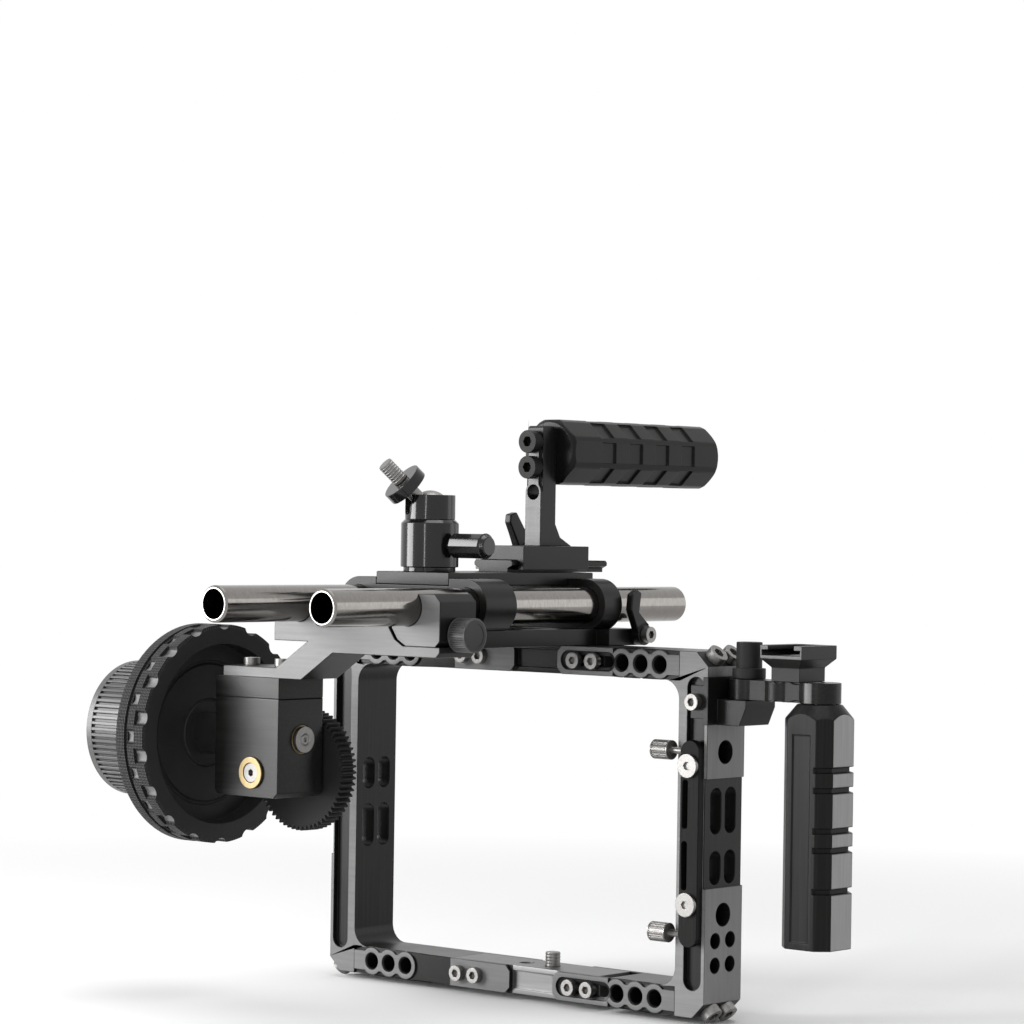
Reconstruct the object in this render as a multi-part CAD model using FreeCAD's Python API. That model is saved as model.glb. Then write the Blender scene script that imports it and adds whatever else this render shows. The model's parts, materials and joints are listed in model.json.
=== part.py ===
import FreeCAD, Part
import math
import os
from FreeCAD import Vector

# Sizes are in millimetres. X runs along the width of the cage, -Y faces the subject, +Z is up.
# The origin is the mouth of the tripod thread, in the underside of the lower rail.

# Cage frame
cage_width = 210.0
cage_height = 149.0
cage_depth = 25.0
beam_height = 12.0
column_width = 15.0
corner_chamfer = 6.0
corner_fillet = 8.0
hole_pitch = 10.0
quarter_thread_radius = 3.2
three_eighths_thread_radius = 4.75
front_thread_depth = 9.0
pad_radius = 6.0
pad_neck = 8.4
pad_relief = 1.0
first_hole_from_column = 10.5
pad_hole_count = 3

# Sliding rail and the two brackets of each beam
cheek_thickness = 1.9
rail_clearance = 0.1
rail_left = -33.0
rail_right = 48.5
rail_groove_height = 7.6
rail_groove_depth = 0.8
left_bracket_end = 0.9
right_bracket_end = 24.8
right_bracket_root = 55.0
bracket_end_chamfer = 2.5
adjuster_slot_left = 26.9
adjuster_slot_right = 56.1
adjuster_slot_radius = 3.9
adjuster_slot_depth = 1.1
adjuster_screw_x = 34.5
fixed_screw_x = -27.5
camera_screw_x = 14.5
camera_head_radius = 7.0
camera_head_height = 4.0
camera_stud_height = 6.0
camera_stud_radius = 3.1
camera_waist_radius = 2.5
camera_slot_width = 1.6
plug_tip_radius = 2.8
plug_socket_depth = 2.4

# Columns
groove_left = cage_width / 2 - 10.5
groove_right = cage_width / 2 - 1.8
groove_low = 11.2
groove_high = cage_height - 10.4
groove_depth = 2.4
window_width = 7.4
window_rib = 2.4
window_low = 54.0
window_high = cage_height - 55.5
window_bridge = 6.8
window_bridge_z = (window_low + window_high) / 2 - 2.55
side_hole_y = -0.3
side_hole_depth = 10.0
upper_large_hole_z = cage_height - 41.0
lower_large_hole_z = 41.7
small_holes_z = 26.3
side_relief = 1.0
side_pad_low = 52.9
side_pad_high = cage_height - 51.7
tongue_length = 9.0
tongue_height = 9.0
tongue_half_depth = 9.0
corner_screw_half_gap = 5.0
corner_screw_length = 11.0

# Fasteners: head radius, head height, shank radius, socket across flats
m3 = {"head": 2.75, "height": 2.6, "shank": 1.5, "socket": 2.5}
m4 = {"head": 3.4, "height": 3.2, "shank": 2.0, "socket": 3.0}
m5 = {"head": 4.2, "height": 3.8, "shank": 2.4, "socket": 4.0}
flat_head = {"head": 4.9, "height": 1.6, "shank": 2.0, "socket": 3.0}
quarter_bolt = {"head": 4.9, "height": 4.4, "shank": 3.15, "socket": 4.0}
beam_screw_length = 12.0
cable_bar_screw_length = 10.0
foot_screw_length = 12.0
cap_screw_length = 12.0
base_bolt_length = 13.0
handle_bolt_length = 22.0
clamp_screw_length = 12.0
tap_allowance = 2.0
screw_clearance = 0.05
running_clearance = 0.03
pivot_clearance = 0.3

# Cable clamp bar on the front of the right column
cable_bar_left = cage_width / 2 - 10.8
cable_bar_right = cage_width / 2 - 1.4
cable_bar_low = 29.0
cable_bar_high = cage_height - 36.0
cable_bar_thickness = 3.6
cable_bar_screw_x = cage_width / 2 - 6.5
cable_bar_screws_z = (46.3, cage_height - 46.3)
cable_slot_radius = 1.3
cable_slot_length = 20.0
cable_slots_z = (62.0, cage_height - 62.0)
cable_post_z = (cable_bar_low + 5.0, cable_bar_high - 4.5)
cable_post_radius = 1.25
cable_nut_radius = 4.0
cable_nut_left = cable_bar_left - 14.7
cable_nut_length = 9.0

# Rods and the block that carries them
rod_spacing = 60.0
rod_radius = 7.5
rod_bore_radius = 6.1
rod_length = 220.0
rod_front = -160.5
rod_height = cage_height + 17.0
rod_chamfer = 0.8
block_ear_radius = 11.0
front_block_front = -76.5
front_block_back = -57.5
rear_block_front = -1.0
rear_block_back = 10.5
base_plate_half_width = 34.0
base_plate_back = 24.0
base_plate_top = cage_height + 7.0
bridge_half_width = 20.3
bridge_low = rod_height + 8.0
bridge_top = bridge_low + 5.4
bridge_back = 16.0
bridge_bolt_x = 15.5
shoulder_top = bridge_low + 3.0
block_window_half_width = 15.0
block_window_low = rod_height - 6.5
block_window_high = rod_height + 4.0
lug_right = 41.0
lug_front = 2.0
lever_y = 20.3
lever_z = cage_height + 4.7
lever_thickness = 4.6
lever_length = 19.0
lever_boss_radius = 4.6

# Follow focus
focus_front = -111.5
focus_bracket_back = focus_front + 21.5
bracket_left = -rod_spacing / 2 - 14.4
bracket_right = rod_spacing / 2 + 17.4
bracket_top = rod_height + 5.4
bar_top = rod_height - 15.6
bar_low = bar_top - 4.2
foot_top = rod_height - 27.0
foot_left = -74.0
jaw_gap = 1.5
hook_chamfer = 3.0
saddle_edge = 2.5
saddle_reach = 16.0
bar_chamfer = 2.0
jaw_foot_gap = 2.4
foot_slope_reach = 33.4
foot_slope_width = 14.6
foot_joint_x = -28.6
thumbscrew_y = focus_front + 10.9
thumbscrew_z = bar_top + 4.9
thumbscrew_shank_radius = 2.4
thumbscrew_radius = 6.9
thumbscrew_length = 9.0
gearbox_left = -78.4
gearbox_right = -41.3
gearbox_back = focus_front + 26.3
gearbox_top = foot_top - 4.3
gearbox_joint = gearbox_top - 8.7
gearbox_low = gearbox_top - 49.7
gearbox_wall = 1.5
gearbox_chamfer = 2.0
wheel_axis_y = focus_front + 14.2
wheel_axis_z = gearbox_top - 25.7
drive_axis_x = -56.2
train_distance = 14.0
train_teeth = 8
train_half_width = 3.0
train_addendum = 1.0
train_dedendum = 1.25
shaft_radius = 4.0
bush_radius = 6.0
bush_flange_radius = 6.6
bush_flange = 1.2
wheel_flange_left = -104.5
wheel_rim_left = -99.3
wheel_rim_right = -88.3
wheel_radius = 46.3
wheel_dish_radius = 38.0
wheel_hub_radius = 9.0
wheel_notches = 18
wheel_notch_radius = 4.0
focus_knob_left = -142.0
focus_knob_radius = 29.0
focus_knob_ribs = 20
focus_knob_groove_radius = 2.6
drive_gear_module = 0.8
drive_gear_teeth = 62
drive_gear_front = -83.5
drive_gear_back = -75.5

# Ball head
ball_head_y = -66.0
ball_body_radius = 12.0
ball_body_top = bridge_top + 21.6
ball_washer = 2.0
ball_chamfer = 1.5
ball_centre_z = ball_body_top + 3.6
ball_radius = 8.5
ball_fit = 0.1
collar_radius = 10.4
collar_top = ball_body_top + 10.2
cup_wall = 1.2
cup_depth = 6.0
stud_neck_radius = 3.0
stud_seat_radius = 4.8
stud_seat_thickness = 0.9
stud_relief_radius = 2.7
stud_tilt = 47.0
stud_azimuth = -116.0
notch_radius = 3.6
notch_rise = 1.9
stud_thread_radius = 3.1
stud_length = 28.0
thumb_ring_radius = 9.0
thumb_ring_low = 13.2
thumb_ring_height = 4.8
thumb_ring_play = 0.1
ball_knob_z = bridge_top + 11.0
ball_knob_stem = 3.0
ball_knob_start = 14.5
ball_knob_end = 32.8
ball_knob_radius = 5.3

# Top handle
handle_rail_front = -26.0
handle_rail_back = 37.0
handle_rail_height = 5.0
handle_rail_half_width = 10.7
handle_rail_waist = 8.2
clamp_half_width = 13.5
clamp_front = -22.0
clamp_back = 21.0
clamp_top = bridge_top + 11.1
clamp_hook_low = bridge_top + 1.0
clamp_jaw_top = bridge_top + 7.8
clamp_lever_y = 14.0
clamp_lever_z = bridge_top + 8.0
riser_half_width = 4.35
riser_front = -0.7
riser_back = 9.3
riser_neck = 6.0
riser_relief = 1.2
riser_flare_height = 9.5
riser_flare_reach = 11.0
riser_top = clamp_top + 51.5
riser_holes_z = (riser_top - 28.5, riser_top - 17.9, riser_top - 6.9)
grip_radius = 14.0
grip_axis_z = riser_top - 11.0
grip_back = 112.0
grip_sides = 8
grip_pocket = 9.0
grip_pocket_pitch = 18.5
grip_pocket_count = 4
grip_pocket_depth = 1.0
grip_collar = 15.0
grip_chamfer = 2.5

# Side handle
side_block_left = cage_width / 2 + 0.2
side_block_front = -16.2
side_block_back = 11.0
side_block_top = cage_height - 10.0
side_block_low = side_block_top - 19.5
side_jaw_left = cage_width / 2 - 6.0
side_jaw_low = side_block_low + 2.5
side_jaw_high = side_block_top - 3.5
side_pivot_x = cage_width / 2 + 11.2
arm_low = side_block_top - 9.0
arm_thickness = 8.3
arm_half_width = 6.3
arm_tongue_radius = 8.0
arm_end_radius = 8.5
arm_scallop_x = side_pivot_x + 19.0
arm_scallop_pitch = 9.0
arm_scallop_radius = 5.0
arm_scallop_depth = 1.0
grip_axis_x = side_pivot_x + 35.4
block_ledge_reach = 6.0
block_ledge_half = 10.0
block_ledge_lip = 3.0
gusset_foot = 2.8
arm_play = 0.1
side_knob_radius = 5.3
side_knob_top = arm_low + 23.3
side_wheel_radius = 6.8
side_wheel_height = 4.2
shoe_left = side_pivot_x + 14.2
shoe_width = 20.6
shoe_half_length = 12.0
shoe_foot_width = 14.0
shoe_foot_height = 5.6
shoe_cheek = 1.4
shoe_stop = 1.6
shoe_height = 14.6
shoe_slot_width = 18.7
shoe_slot_height = 2.1
shoe_mouth_width = 12.6
shoe_lip = 1.9
side_grip_half = 12.0
side_grip_chamfer = 5.0
side_grip_low = arm_low - 97.5
side_grip_neck_radius = 9.0
side_grip_cone = 8.0
side_grip_grooves_z = tuple(arm_low - drop for drop in (26.0, 34.0, 50.0, 57.7, 74.0))
side_grip_groove = 2.2
side_grip_step_start = 6.0
side_grip_step_depth = 0.88
side_grip_bolt_length = 36.0

half_width = cage_width / 2
half_depth = cage_depth / 2
opening_half_width = half_width - column_width
rail_half_depth = half_depth - cheek_thickness - rail_clearance
upper_beam_z = cage_height - beam_height
rod_x = rod_spacing / 2
rod_fit_radius = rod_radius + running_clearance
rod_back = rod_front + rod_length
drive_axis_z = wheel_axis_z - train_distance
handle_rail_top = bridge_top + handle_rail_height
arm_top = arm_low + arm_thickness
grip_gap_z = arm_low - pivot_clearance
directions = {"X": Vector(1, 0, 0), "Y": Vector(0, 1, 0), "Z": Vector(0, 0, 1)}
pieces = {}


def spot(axis, along, centre):
    if axis == "X":
        return Vector(along, centre[0], centre[1])
    if axis == "Y":
        return Vector(centre[0], along, centre[1])
    return Vector(centre[0], centre[1], along)


def box(x0, x1, y0, y1, z0, z1):
    return Part.makeBox(x1 - x0, y1 - y0, z1 - z0, Vector(x0, y0, z0))


def cylinder(axis, centre, radius, start, end):
    return Part.makeCylinder(radius, end - start, spot(axis, start, centre), directions[axis])


def cone(axis, centre, start_radius, end_radius, start, end):
    base = spot(axis, start, centre)
    return Part.makeCone(start_radius, end_radius, end - start, base, directions[axis])


def prism(axis, outline, start, end):
    points = [spot(axis, start, point) for point in outline]
    face = Part.Face(Part.makePolygon(points + points[:1]))
    return face.extrude(directions[axis] * (end - start))


def ring_points(centre, radius, count, turn=0.0):
    points = []
    for step in range(count):
        angle = math.radians(turn + 360.0 * step / count)
        points.append((centre[0] + radius * math.cos(angle), centre[1] + radius * math.sin(angle)))
    return points


def hexagon(axis, centre, across_flats, start, end):
    return prism(axis, ring_points(centre, across_flats / math.sqrt(3), 6), start, end)


def fuse(first, *others):
    return first.multiFuse(list(others)).removeSplitter()


def cut(shape, *tools):
    return shape.cut(list(tools))


def turned(shape, axis, centre, angle):
    copy = shape.copy()
    copy.rotate(spot(axis, 0, centre), directions[axis], angle)
    return copy


def moved(shape, x=0.0, y=0.0, z=0.0):
    copy = shape.copy()
    copy.translate(Vector(x, y, z))
    return copy


# A slot with round ends, long along the first or the second coordinate of its centre
def obround(axis, centre, length, radius, start, end, upright=False):
    reach = length / 2 - radius
    first = (centre[0], centre[1] - reach) if upright else (centre[0] - reach, centre[1])
    second = (centre[0], centre[1] + reach) if upright else (centre[0] + reach, centre[1])
    side = (radius, 0) if upright else (0, radius)
    outline = [
        (first[0] - side[0], first[1] - side[1]),
        (second[0] - side[0], second[1] - side[1]),
        (second[0] + side[0], second[1] + side[1]),
        (first[0] + side[0], first[1] + side[1]),
    ]
    middle = prism(axis, outline, start, end)
    caps = [cylinder(axis, end_centre, radius, start, end) for end_centre in (first, second)]
    return fuse(middle, *caps)


# A socket screw whose head stands on the side that facing names, with its seat under the head
def screw(axis, centre, seat, facing, size, length):
    top = seat + facing * size["height"]
    tip = seat - facing * length
    head = cylinder(axis, centre, size["head"], min(seat, top), max(seat, top))
    shank = cylinder(axis, centre, size["shank"], min(seat, tip), max(seat, tip))
    floor = top - facing * size["height"] * 0.6
    socket = hexagon(axis, centre, size["socket"], min(floor, top), max(floor, top))
    return cut(fuse(head, shank), socket)


def screw_hole(axis, centre, seat, facing, size, length):
    tip = seat - facing * length
    return cylinder(axis, centre, size["shank"] + screw_clearance, min(seat, tip), max(seat, tip))


def keep(name, *solids):
    pieces[name] = solids[0] if len(solids) == 1 else Part.makeCompound(list(solids))


# The same tilted screw as used in the chamfered corners, built upright and then laid over
def corner_tool(maker, y):
    upright = maker("Z", (0, 0))
    upright.rotate(Vector(0, 0, 0), Vector(0, 1, 0), 135)
    upright.translate(Vector(half_width - corner_chamfer / 2, y, corner_chamfer / 2))
    return upright


def corner_screw(y):
    return corner_tool(lambda axis, centre: screw(axis, centre, 0, 1, m5, corner_screw_length), y)


def corner_hole(y):
    return corner_tool(lambda axis, centre: screw_hole(axis, centre, 0, 1, m5, corner_screw_length), y)


def corner_set(maker):
    return [maker(y) for y in (-corner_screw_half_gap, corner_screw_half_gap)]


# Turns a part of the right column into the matching part of the left one
def flipped(shape):
    return turned(shape, "Y", (0, cage_height / 2), 180)


# Turns a part of the lower right corner into the matching part of the upper right one
def upended(shape):
    return shape.mirror(Vector(0, 0, cage_height / 2), Vector(0, 0, 1))


def beam_hole_places():
    return [opening_half_width - first_hole_from_column - hole_pitch * step for step in range(pad_hole_count)]


# The solid end of a bracket, right-hand side, with its raised pad and its tongue into the column
def bracket_end(root):
    middle = beam_height / 2
    body = box(root, opening_half_width, -half_depth, half_depth, 0, beam_height)
    holes = beam_hole_places()
    pad = box(holes[-1], opening_half_width, -half_depth, 0, middle - pad_neck / 2, middle + pad_neck / 2)
    for x in holes:
        pad = fuse(pad, cylinder("Y", (x, middle), pad_radius, -half_depth, 0))
    skin = box(root, opening_half_width, -half_depth, -half_depth + pad_relief, 0, beam_height)
    body = cut(body, cut(skin, pad))
    tongue_low = middle - tongue_height / 2 + 1
    body = fuse(body, box(opening_half_width, opening_half_width + tongue_length, -tongue_half_depth,
                          tongue_half_depth, tongue_low, tongue_low + tongue_height))
    for x in holes:
        body = cut(
            body,
            cylinder("Y", (x, middle), quarter_thread_radius, -half_depth, -half_depth + front_thread_depth),
            cone("Y", (x, middle), quarter_thread_radius + 0.7, quarter_thread_radius,
                 -half_depth, -half_depth + 0.7),
        )
    return cut(body, *corner_set(corner_hole))


def cheeks(end, root):
    outline = [
        (end, bracket_end_chamfer), (end + bracket_end_chamfer, 0), (root, 0), (root, beam_height),
        (end + bracket_end_chamfer, beam_height), (end, beam_height - bracket_end_chamfer),
    ]
    front = prism("Y", outline, -half_depth, -half_depth + cheek_thickness)
    rear = prism("Y", outline, half_depth - cheek_thickness, half_depth)
    return [front, rear]


def right_bracket():
    middle = beam_height / 2
    length = adjuster_slot_right - adjuster_slot_left
    centre = (adjuster_slot_left + length / 2, middle)
    shape = fuse(bracket_end(right_bracket_root), *cheeks(right_bracket_end, right_bracket_root))
    narrow = m4["shank"] + 0.3
    inset = 2 * (adjuster_slot_radius - narrow)
    return cut(
        shape,
        obround("Y", centre, length, adjuster_slot_radius, -half_depth, -half_depth + adjuster_slot_depth),
        obround("Y", centre, length - inset, narrow, -half_depth, -half_depth + cheek_thickness),
    )


# The left bracket reaches past the middle of the beam and is screwed to the rail
def left_bracket():
    end = bracket_end(-rail_left)
    end = turned(end, "Z", (0, 0), 180)
    end = end.mirror(Vector(0, 0, 0), Vector(0, 1, 0))
    packing = rail_clearance
    plates = []
    for plate in cheeks(-left_bracket_end, -rail_left):
        plates.append(turned(plate, "Z", (0, 0), 180))
    for side in (-1, 1):
        y = side * (rail_half_depth + packing / 2)
        plates.append(box(rail_left, left_bracket_end, y - packing / 2, y + packing / 2, 0, beam_height))
    shape = fuse(end, *plates)
    for x in fixed_screw_places():
        shape = cut(shape, screw_hole("Y", (x, beam_height / 2), -half_depth, -1, m4, beam_screw_length))
    return shape


def fixed_screw_places():
    return [fixed_screw_x, fixed_screw_x + hole_pitch]


def adjuster_screw_places():
    return [adjuster_screw_x, adjuster_screw_x + hole_pitch]


def adjuster_seat():
    return -half_depth + adjuster_slot_depth - screw_clearance


# The rail is one design, used above and below
def rail():
    middle = beam_height / 2
    shape = box(rail_left, rail_right, -rail_half_depth, rail_half_depth, 0, beam_height)
    groove = box(left_bracket_end, rail_right, -rail_half_depth, -rail_half_depth + rail_groove_depth,
                 middle - rail_groove_height / 2, middle + rail_groove_height / 2)
    tripod = cylinder("Z", (0, 0), quarter_thread_radius, 0, beam_height)
    camera = cylinder("Z", (camera_screw_x, 0), camera_stud_radius + pivot_clearance, 0, beam_height)
    camera_seat = cylinder("Z", (camera_screw_x, 0), camera_head_radius + pivot_clearance,
                           0, camera_head_height + pivot_clearance)
    shape = cut(shape, groove, tripod, camera, camera_seat)
    for x in fixed_screw_places():
        shape = cut(shape, screw_hole("Y", (x, middle), -half_depth, -1, m4, beam_screw_length))
    for x in adjuster_screw_places():
        shape = cut(shape, screw_hole("Y", (x, middle), adjuster_seat(), -1, m4, beam_screw_length))
    return shape


def cage_beams():
    lower_rail = rail()
    screws = []
    for level, name in ((0, "bottom"), (upper_beam_z, "top")):
        middle = beam_height / 2
        keep(name + "_rail", moved(lower_rail, z=level))
        if level:
            keep(name + "_left_bracket", upended(left_bracket()))
            keep(name + "_right_bracket", upended(right_bracket()))
        else:
            keep(name + "_left_bracket", left_bracket())
            keep(name + "_right_bracket", right_bracket())
        for x in fixed_screw_places():
            screws.append(screw("Y", (x, middle + level), -half_depth, -1, m4, beam_screw_length))
        for x in adjuster_screw_places():
            screws.append(screw("Y", (x, middle + level), adjuster_seat(), -1, m4, beam_screw_length))
    keep("rail_screws", *screws)


def camera_screw():
    head = cylinder("Z", (camera_screw_x, 0), camera_head_radius, pivot_clearance,
                    camera_head_height)
    waist = cylinder("Z", (camera_screw_x, 0), camera_waist_radius, camera_head_height, beam_height)
    stud = cylinder("Z", (camera_screw_x, 0), camera_stud_radius, beam_height,
                    beam_height + camera_stud_height)
    half_slot = camera_slot_width / 2
    slot = box(camera_screw_x - camera_head_radius, camera_screw_x + camera_head_radius,
               -half_slot, half_slot, pivot_clearance, pivot_clearance + camera_slot_width)
    keep("camera_screw", cut(fuse(head, waist, stud), slot))
    level = upper_beam_z
    plug = cylinder("Z", (camera_screw_x, 0), camera_head_radius, level, level + camera_head_height)
    tip = cylinder("Z", (camera_screw_x, 0), plug_tip_radius, level + camera_head_height, cage_height)
    socket = hexagon("Z", (camera_screw_x, 0), m5["socket"], level, level + plug_socket_depth)
    keep("top_rail_plug", cut(fuse(plug, tip), socket))


def column():
    inner = opening_half_width
    profile = [
        (inner, 0), (half_width - corner_chamfer, 0), (half_width, corner_chamfer),
        (half_width, cage_height - corner_chamfer), (half_width - corner_chamfer, cage_height),
        (inner, cage_height),
    ]
    shape = prism("Y", profile, -half_depth, half_depth)
    foot = box(inner - corner_fillet, inner, -half_depth, half_depth, beam_height, beam_height + corner_fillet)
    foot = cut(foot, cylinder("Y", (inner - corner_fillet, beam_height + corner_fillet), corner_fillet,
                              -half_depth, half_depth))
    tongue_low = beam_height / 2 - tongue_height / 2 + 1
    pocket = box(inner, inner + tongue_length, -tongue_half_depth, tongue_half_depth,
                 tongue_low, tongue_low + tongue_height)
    shape = fuse(shape, foot, upended(foot))
    holes = [pocket] + corner_set(corner_hole)
    shape = cut(shape, *holes)
    shape = cut(shape, *[upended(hole) for hole in holes])
    groove_centre = ((groove_left + groove_right) / 2, (groove_low + groove_high) / 2)
    groove = obround("Y", groove_centre, groove_high - groove_low, (groove_right - groove_left) / 2,
                     -half_depth, -half_depth + groove_depth, upright=True)
    relief = box(half_width - side_relief, half_width, -half_depth, half_depth, side_pad_low, side_pad_high)
    shape = cut(shape, groove, relief)
    window_y = (window_width + window_rib) / 2
    for y in (-window_y, window_y):
        for low, high in ((window_low, window_bridge_z - window_bridge / 2),
                          (window_bridge_z + window_bridge / 2, window_high)):
            shape = cut(shape, obround("X", (y, (low + high) / 2), high - low, window_width / 2,
                                       inner, half_width, upright=True))
    mouth = half_width - side_hole_depth
    for z in (upper_large_hole_z, lower_large_hole_z):
        shape = cut(shape, cylinder("X", (side_hole_y, z), three_eighths_thread_radius, mouth, half_width))
    for y in (side_hole_y - hole_pitch / 2, side_hole_y + hole_pitch / 2):
        for z in (small_holes_z - hole_pitch / 2, small_holes_z + hole_pitch / 2):
            shape = cut(shape, cylinder("X", (y, z), quarter_thread_radius, mouth, half_width))
    return shape


def columns():
    right = column()
    bar_holes = []
    for z in cable_bar_screws_z:
        bar_holes.append(screw_hole("Y", (cable_bar_screw_x, z), -half_depth - cable_bar_thickness, -1,
                                    flat_head, cable_bar_screw_length))
    keep("left_column", flipped(right))
    keep("right_column", cut(right, *bar_holes))
    right_screws = corner_set(corner_screw)
    right_screws += [upended(item) for item in corner_set(corner_screw)]
    keep("right_corner_screws", *right_screws)
    keep("left_corner_screws", *[flipped(item) for item in right_screws])


def cable_clamp():
    back = -half_depth
    front = back - cable_bar_thickness
    middle_x = (cable_bar_left + cable_bar_right) / 2
    radius = (cable_bar_right - cable_bar_left) / 2
    height = cable_bar_high - cable_bar_low
    bar = obround("Y", (middle_x, cable_bar_low + height / 2), height, radius - 0.01, front, back, upright=True)
    for z in cable_slots_z:
        bar = cut(bar, obround("Y", (middle_x - 2.2, z), cable_slot_length, cable_slot_radius,
                               front, back, upright=True))
    for z in cable_bar_screws_z:
        bar = cut(bar, screw_hole("Y", (cable_bar_screw_x, z), front, -1, flat_head, cable_bar_screw_length))
    middle_y = (front + back) / 2
    for z in cable_post_z:
        bar = cut(bar, cylinder("X", (middle_y, z), cable_post_radius + running_clearance,
                                cable_bar_left - 1, cable_bar_right - 2))
    keep("cable_clamp_bar", bar)
    keep("cable_bar_screws", *[screw("Y", (cable_bar_screw_x, z), front, -1, flat_head, cable_bar_screw_length)
                               for z in cable_bar_screws_z])
    for z, name in zip(cable_post_z, ("lower", "upper")):
        nut_right = cable_nut_left + cable_nut_length
        nut = cylinder("X", (middle_y, z), cable_nut_radius, cable_nut_left, nut_right)
        collar = cylinder("X", (middle_y, z), cable_bar_thickness / 2 - 0.1, nut_right,
                          cable_bar_left + 1.2)
        post = cylinder("X", (middle_y, z), cable_post_radius, nut_right, cable_bar_right - 2.6)
        bar_gap = box(cable_bar_left - 0.4, cable_bar_right, front - 5, back + 5, z - 5, z + 5)
        keep(name + "_cable_thumbscrew", fuse(nut, cut(collar, bar_gap), post))


def block_outline(front, back, low):
    ears = [cylinder("Y", (side * rod_x, rod_height), block_ear_radius, front, back) for side in (-1, 1)]
    body = box(-rod_x, rod_x, front, back, rod_height - block_ear_radius, shoulder_top)
    shape = fuse(body, *ears)
    below = box(-rod_x - block_ear_radius, rod_x + block_ear_radius, front, back, low - 20, low)
    seat = box(-bridge_half_width, bridge_half_width, front, back, bridge_low, shoulder_top + 1)
    window = box(-block_window_half_width, block_window_half_width, front, back,
                 block_window_low, block_window_high)
    bores = [cylinder("Y", (side * rod_x, rod_height), rod_fit_radius, front, back) for side in (-1, 1)]
    return cut(shape, below, seat, window, *bores)


def bridge_bolt_places():
    front = (front_block_front + front_block_back) / 2
    rear = (rear_block_front + rear_block_back) / 2
    return [(x, y) for x in (-bridge_bolt_x, bridge_bolt_x) for y in (front, rear)]


def handle_rail_screw_places():
    return [handle_rail_front + 6, bridge_back - 6]


def rod_mount():
    seat = bridge_top - m4["height"]
    drop = 5.0
    holes = []
    for place in bridge_bolt_places():
        holes.append(cylinder("Z", place, m4["head"] + screw_clearance, seat, bridge_top))
        holes.append(screw_hole("Z", place, seat, 1, m4, seat - bridge_low + drop))
    front = cut(block_outline(front_block_front, front_block_back, base_plate_top), *holes)
    rear = cut(block_outline(rear_block_front, rear_block_back, base_plate_top), *holes)
    keep("front_rod_block", front)
    keep("rear_rod_block", rear)
    bridge = box(-bridge_half_width, bridge_half_width, front_block_front, bridge_back, bridge_low, bridge_top)
    ball_hole = cylinder("Z", (0, ball_head_y), quarter_thread_radius, bridge_low, bridge_top)
    rail_holes = [screw_hole("Z", (0, y), bridge_top, 1, m4, 4.2) for y in handle_rail_screw_places()]
    keep("rod_bridge", cut(bridge, ball_hole, *(holes + rail_holes)))
    mount_screws = [screw("Z", place, seat, 1, m4, seat - bridge_low + drop) for place in bridge_bolt_places()]
    plate = box(-base_plate_half_width, base_plate_half_width, front_block_front, base_plate_back,
                cage_height, base_plate_top)
    lug = box(base_plate_half_width, lug_right, lug_front, base_plate_back + 3, cage_height, base_plate_top)
    lightening = box(-base_plate_half_width + 10, base_plate_half_width - 10, front_block_back + 6,
                     -half_depth - 6, cage_height, base_plate_top)
    pivot = cylinder("X", (lever_y, lever_z), m4["shank"] + screw_clearance, lug_right - 8, lug_right)
    plate = fuse(plate, lug)
    bolt_seat = base_plate_top - quarter_bolt["height"] - screw_clearance
    middle_bolt = screw_hole("Z", (0, 0), bolt_seat, 1, quarter_bolt, 20)
    middle_seat = cylinder("Z", (0, 0), quarter_bolt["head"] + screw_clearance, bolt_seat, base_plate_top)
    keep("rod_base_plate", cut(plate, lightening, pivot, middle_bolt, middle_seat))
    keep("base_plate_bolt", screw("Z", (0, 0), bolt_seat, 1, quarter_bolt, base_bolt_length))
    inner = lug_right + pivot_clearance
    outer = inner + lever_thickness
    boss = cylinder("X", (lever_y, lever_z), lever_boss_radius, inner, outer)
    blade = prism("X", [
        (lever_y - 4.4, lever_z + 1), (lever_y - 9.0, lever_z + lever_length * 0.55),
        (lever_y - 8.2, lever_z + lever_length * 0.9), (lever_y - 5.0, lever_z + lever_length),
        (lever_y - 2.2, lever_z + lever_length * 0.93), (lever_y - 3.6, lever_z + lever_length * 0.5),
        (lever_y + 3.4, lever_z + 3),
    ], inner + 0.8, outer - 0.4)
    bore = cylinder("X", (lever_y, lever_z), m4["shank"] + running_clearance, inner, outer)
    keep("rod_lock_lever", cut(fuse(boss, blade), bore))
    lever_seat = outer + 0.1
    mount_screws.append(screw("X", (lever_y, lever_z), lever_seat, 1, m4, lever_seat - lug_right + 8))
    rail_seat = handle_rail_top - m4["height"]
    for y in handle_rail_screw_places():
        mount_screws.append(screw("Z", (0, y), rail_seat, 1, m4, rail_seat - bridge_top + 4))
    keep("rod_mount_screws", *mount_screws)


def rods():
    for side, name in ((-1, "left_rod"), (1, "right_rod")):
        centre = (side * rod_x, rod_height)
        shape = cylinder("Y", centre, rod_radius, rod_front, rod_back)
        shape = shape.makeChamfer(rod_chamfer, [edge for edge in shape.Edges
                                                if edge.Curve.TypeId == "Part::GeomCircle"])
        keep(name, cut(shape, cylinder("Y", centre, rod_bore_radius, rod_front, rod_back)))


# The slanting edge of the clamp jaw, which the bracket's own edge follows across the gap
def jaw_edge():
    return [
        (rod_x - saddle_reach + 8.2, rod_height - 4.8), (rod_x - 8.6, rod_height - 8.4),
        (rod_x - 5.4, rod_height - 13.0), (rod_x - 1.0, bar_top),
    ]


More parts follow.
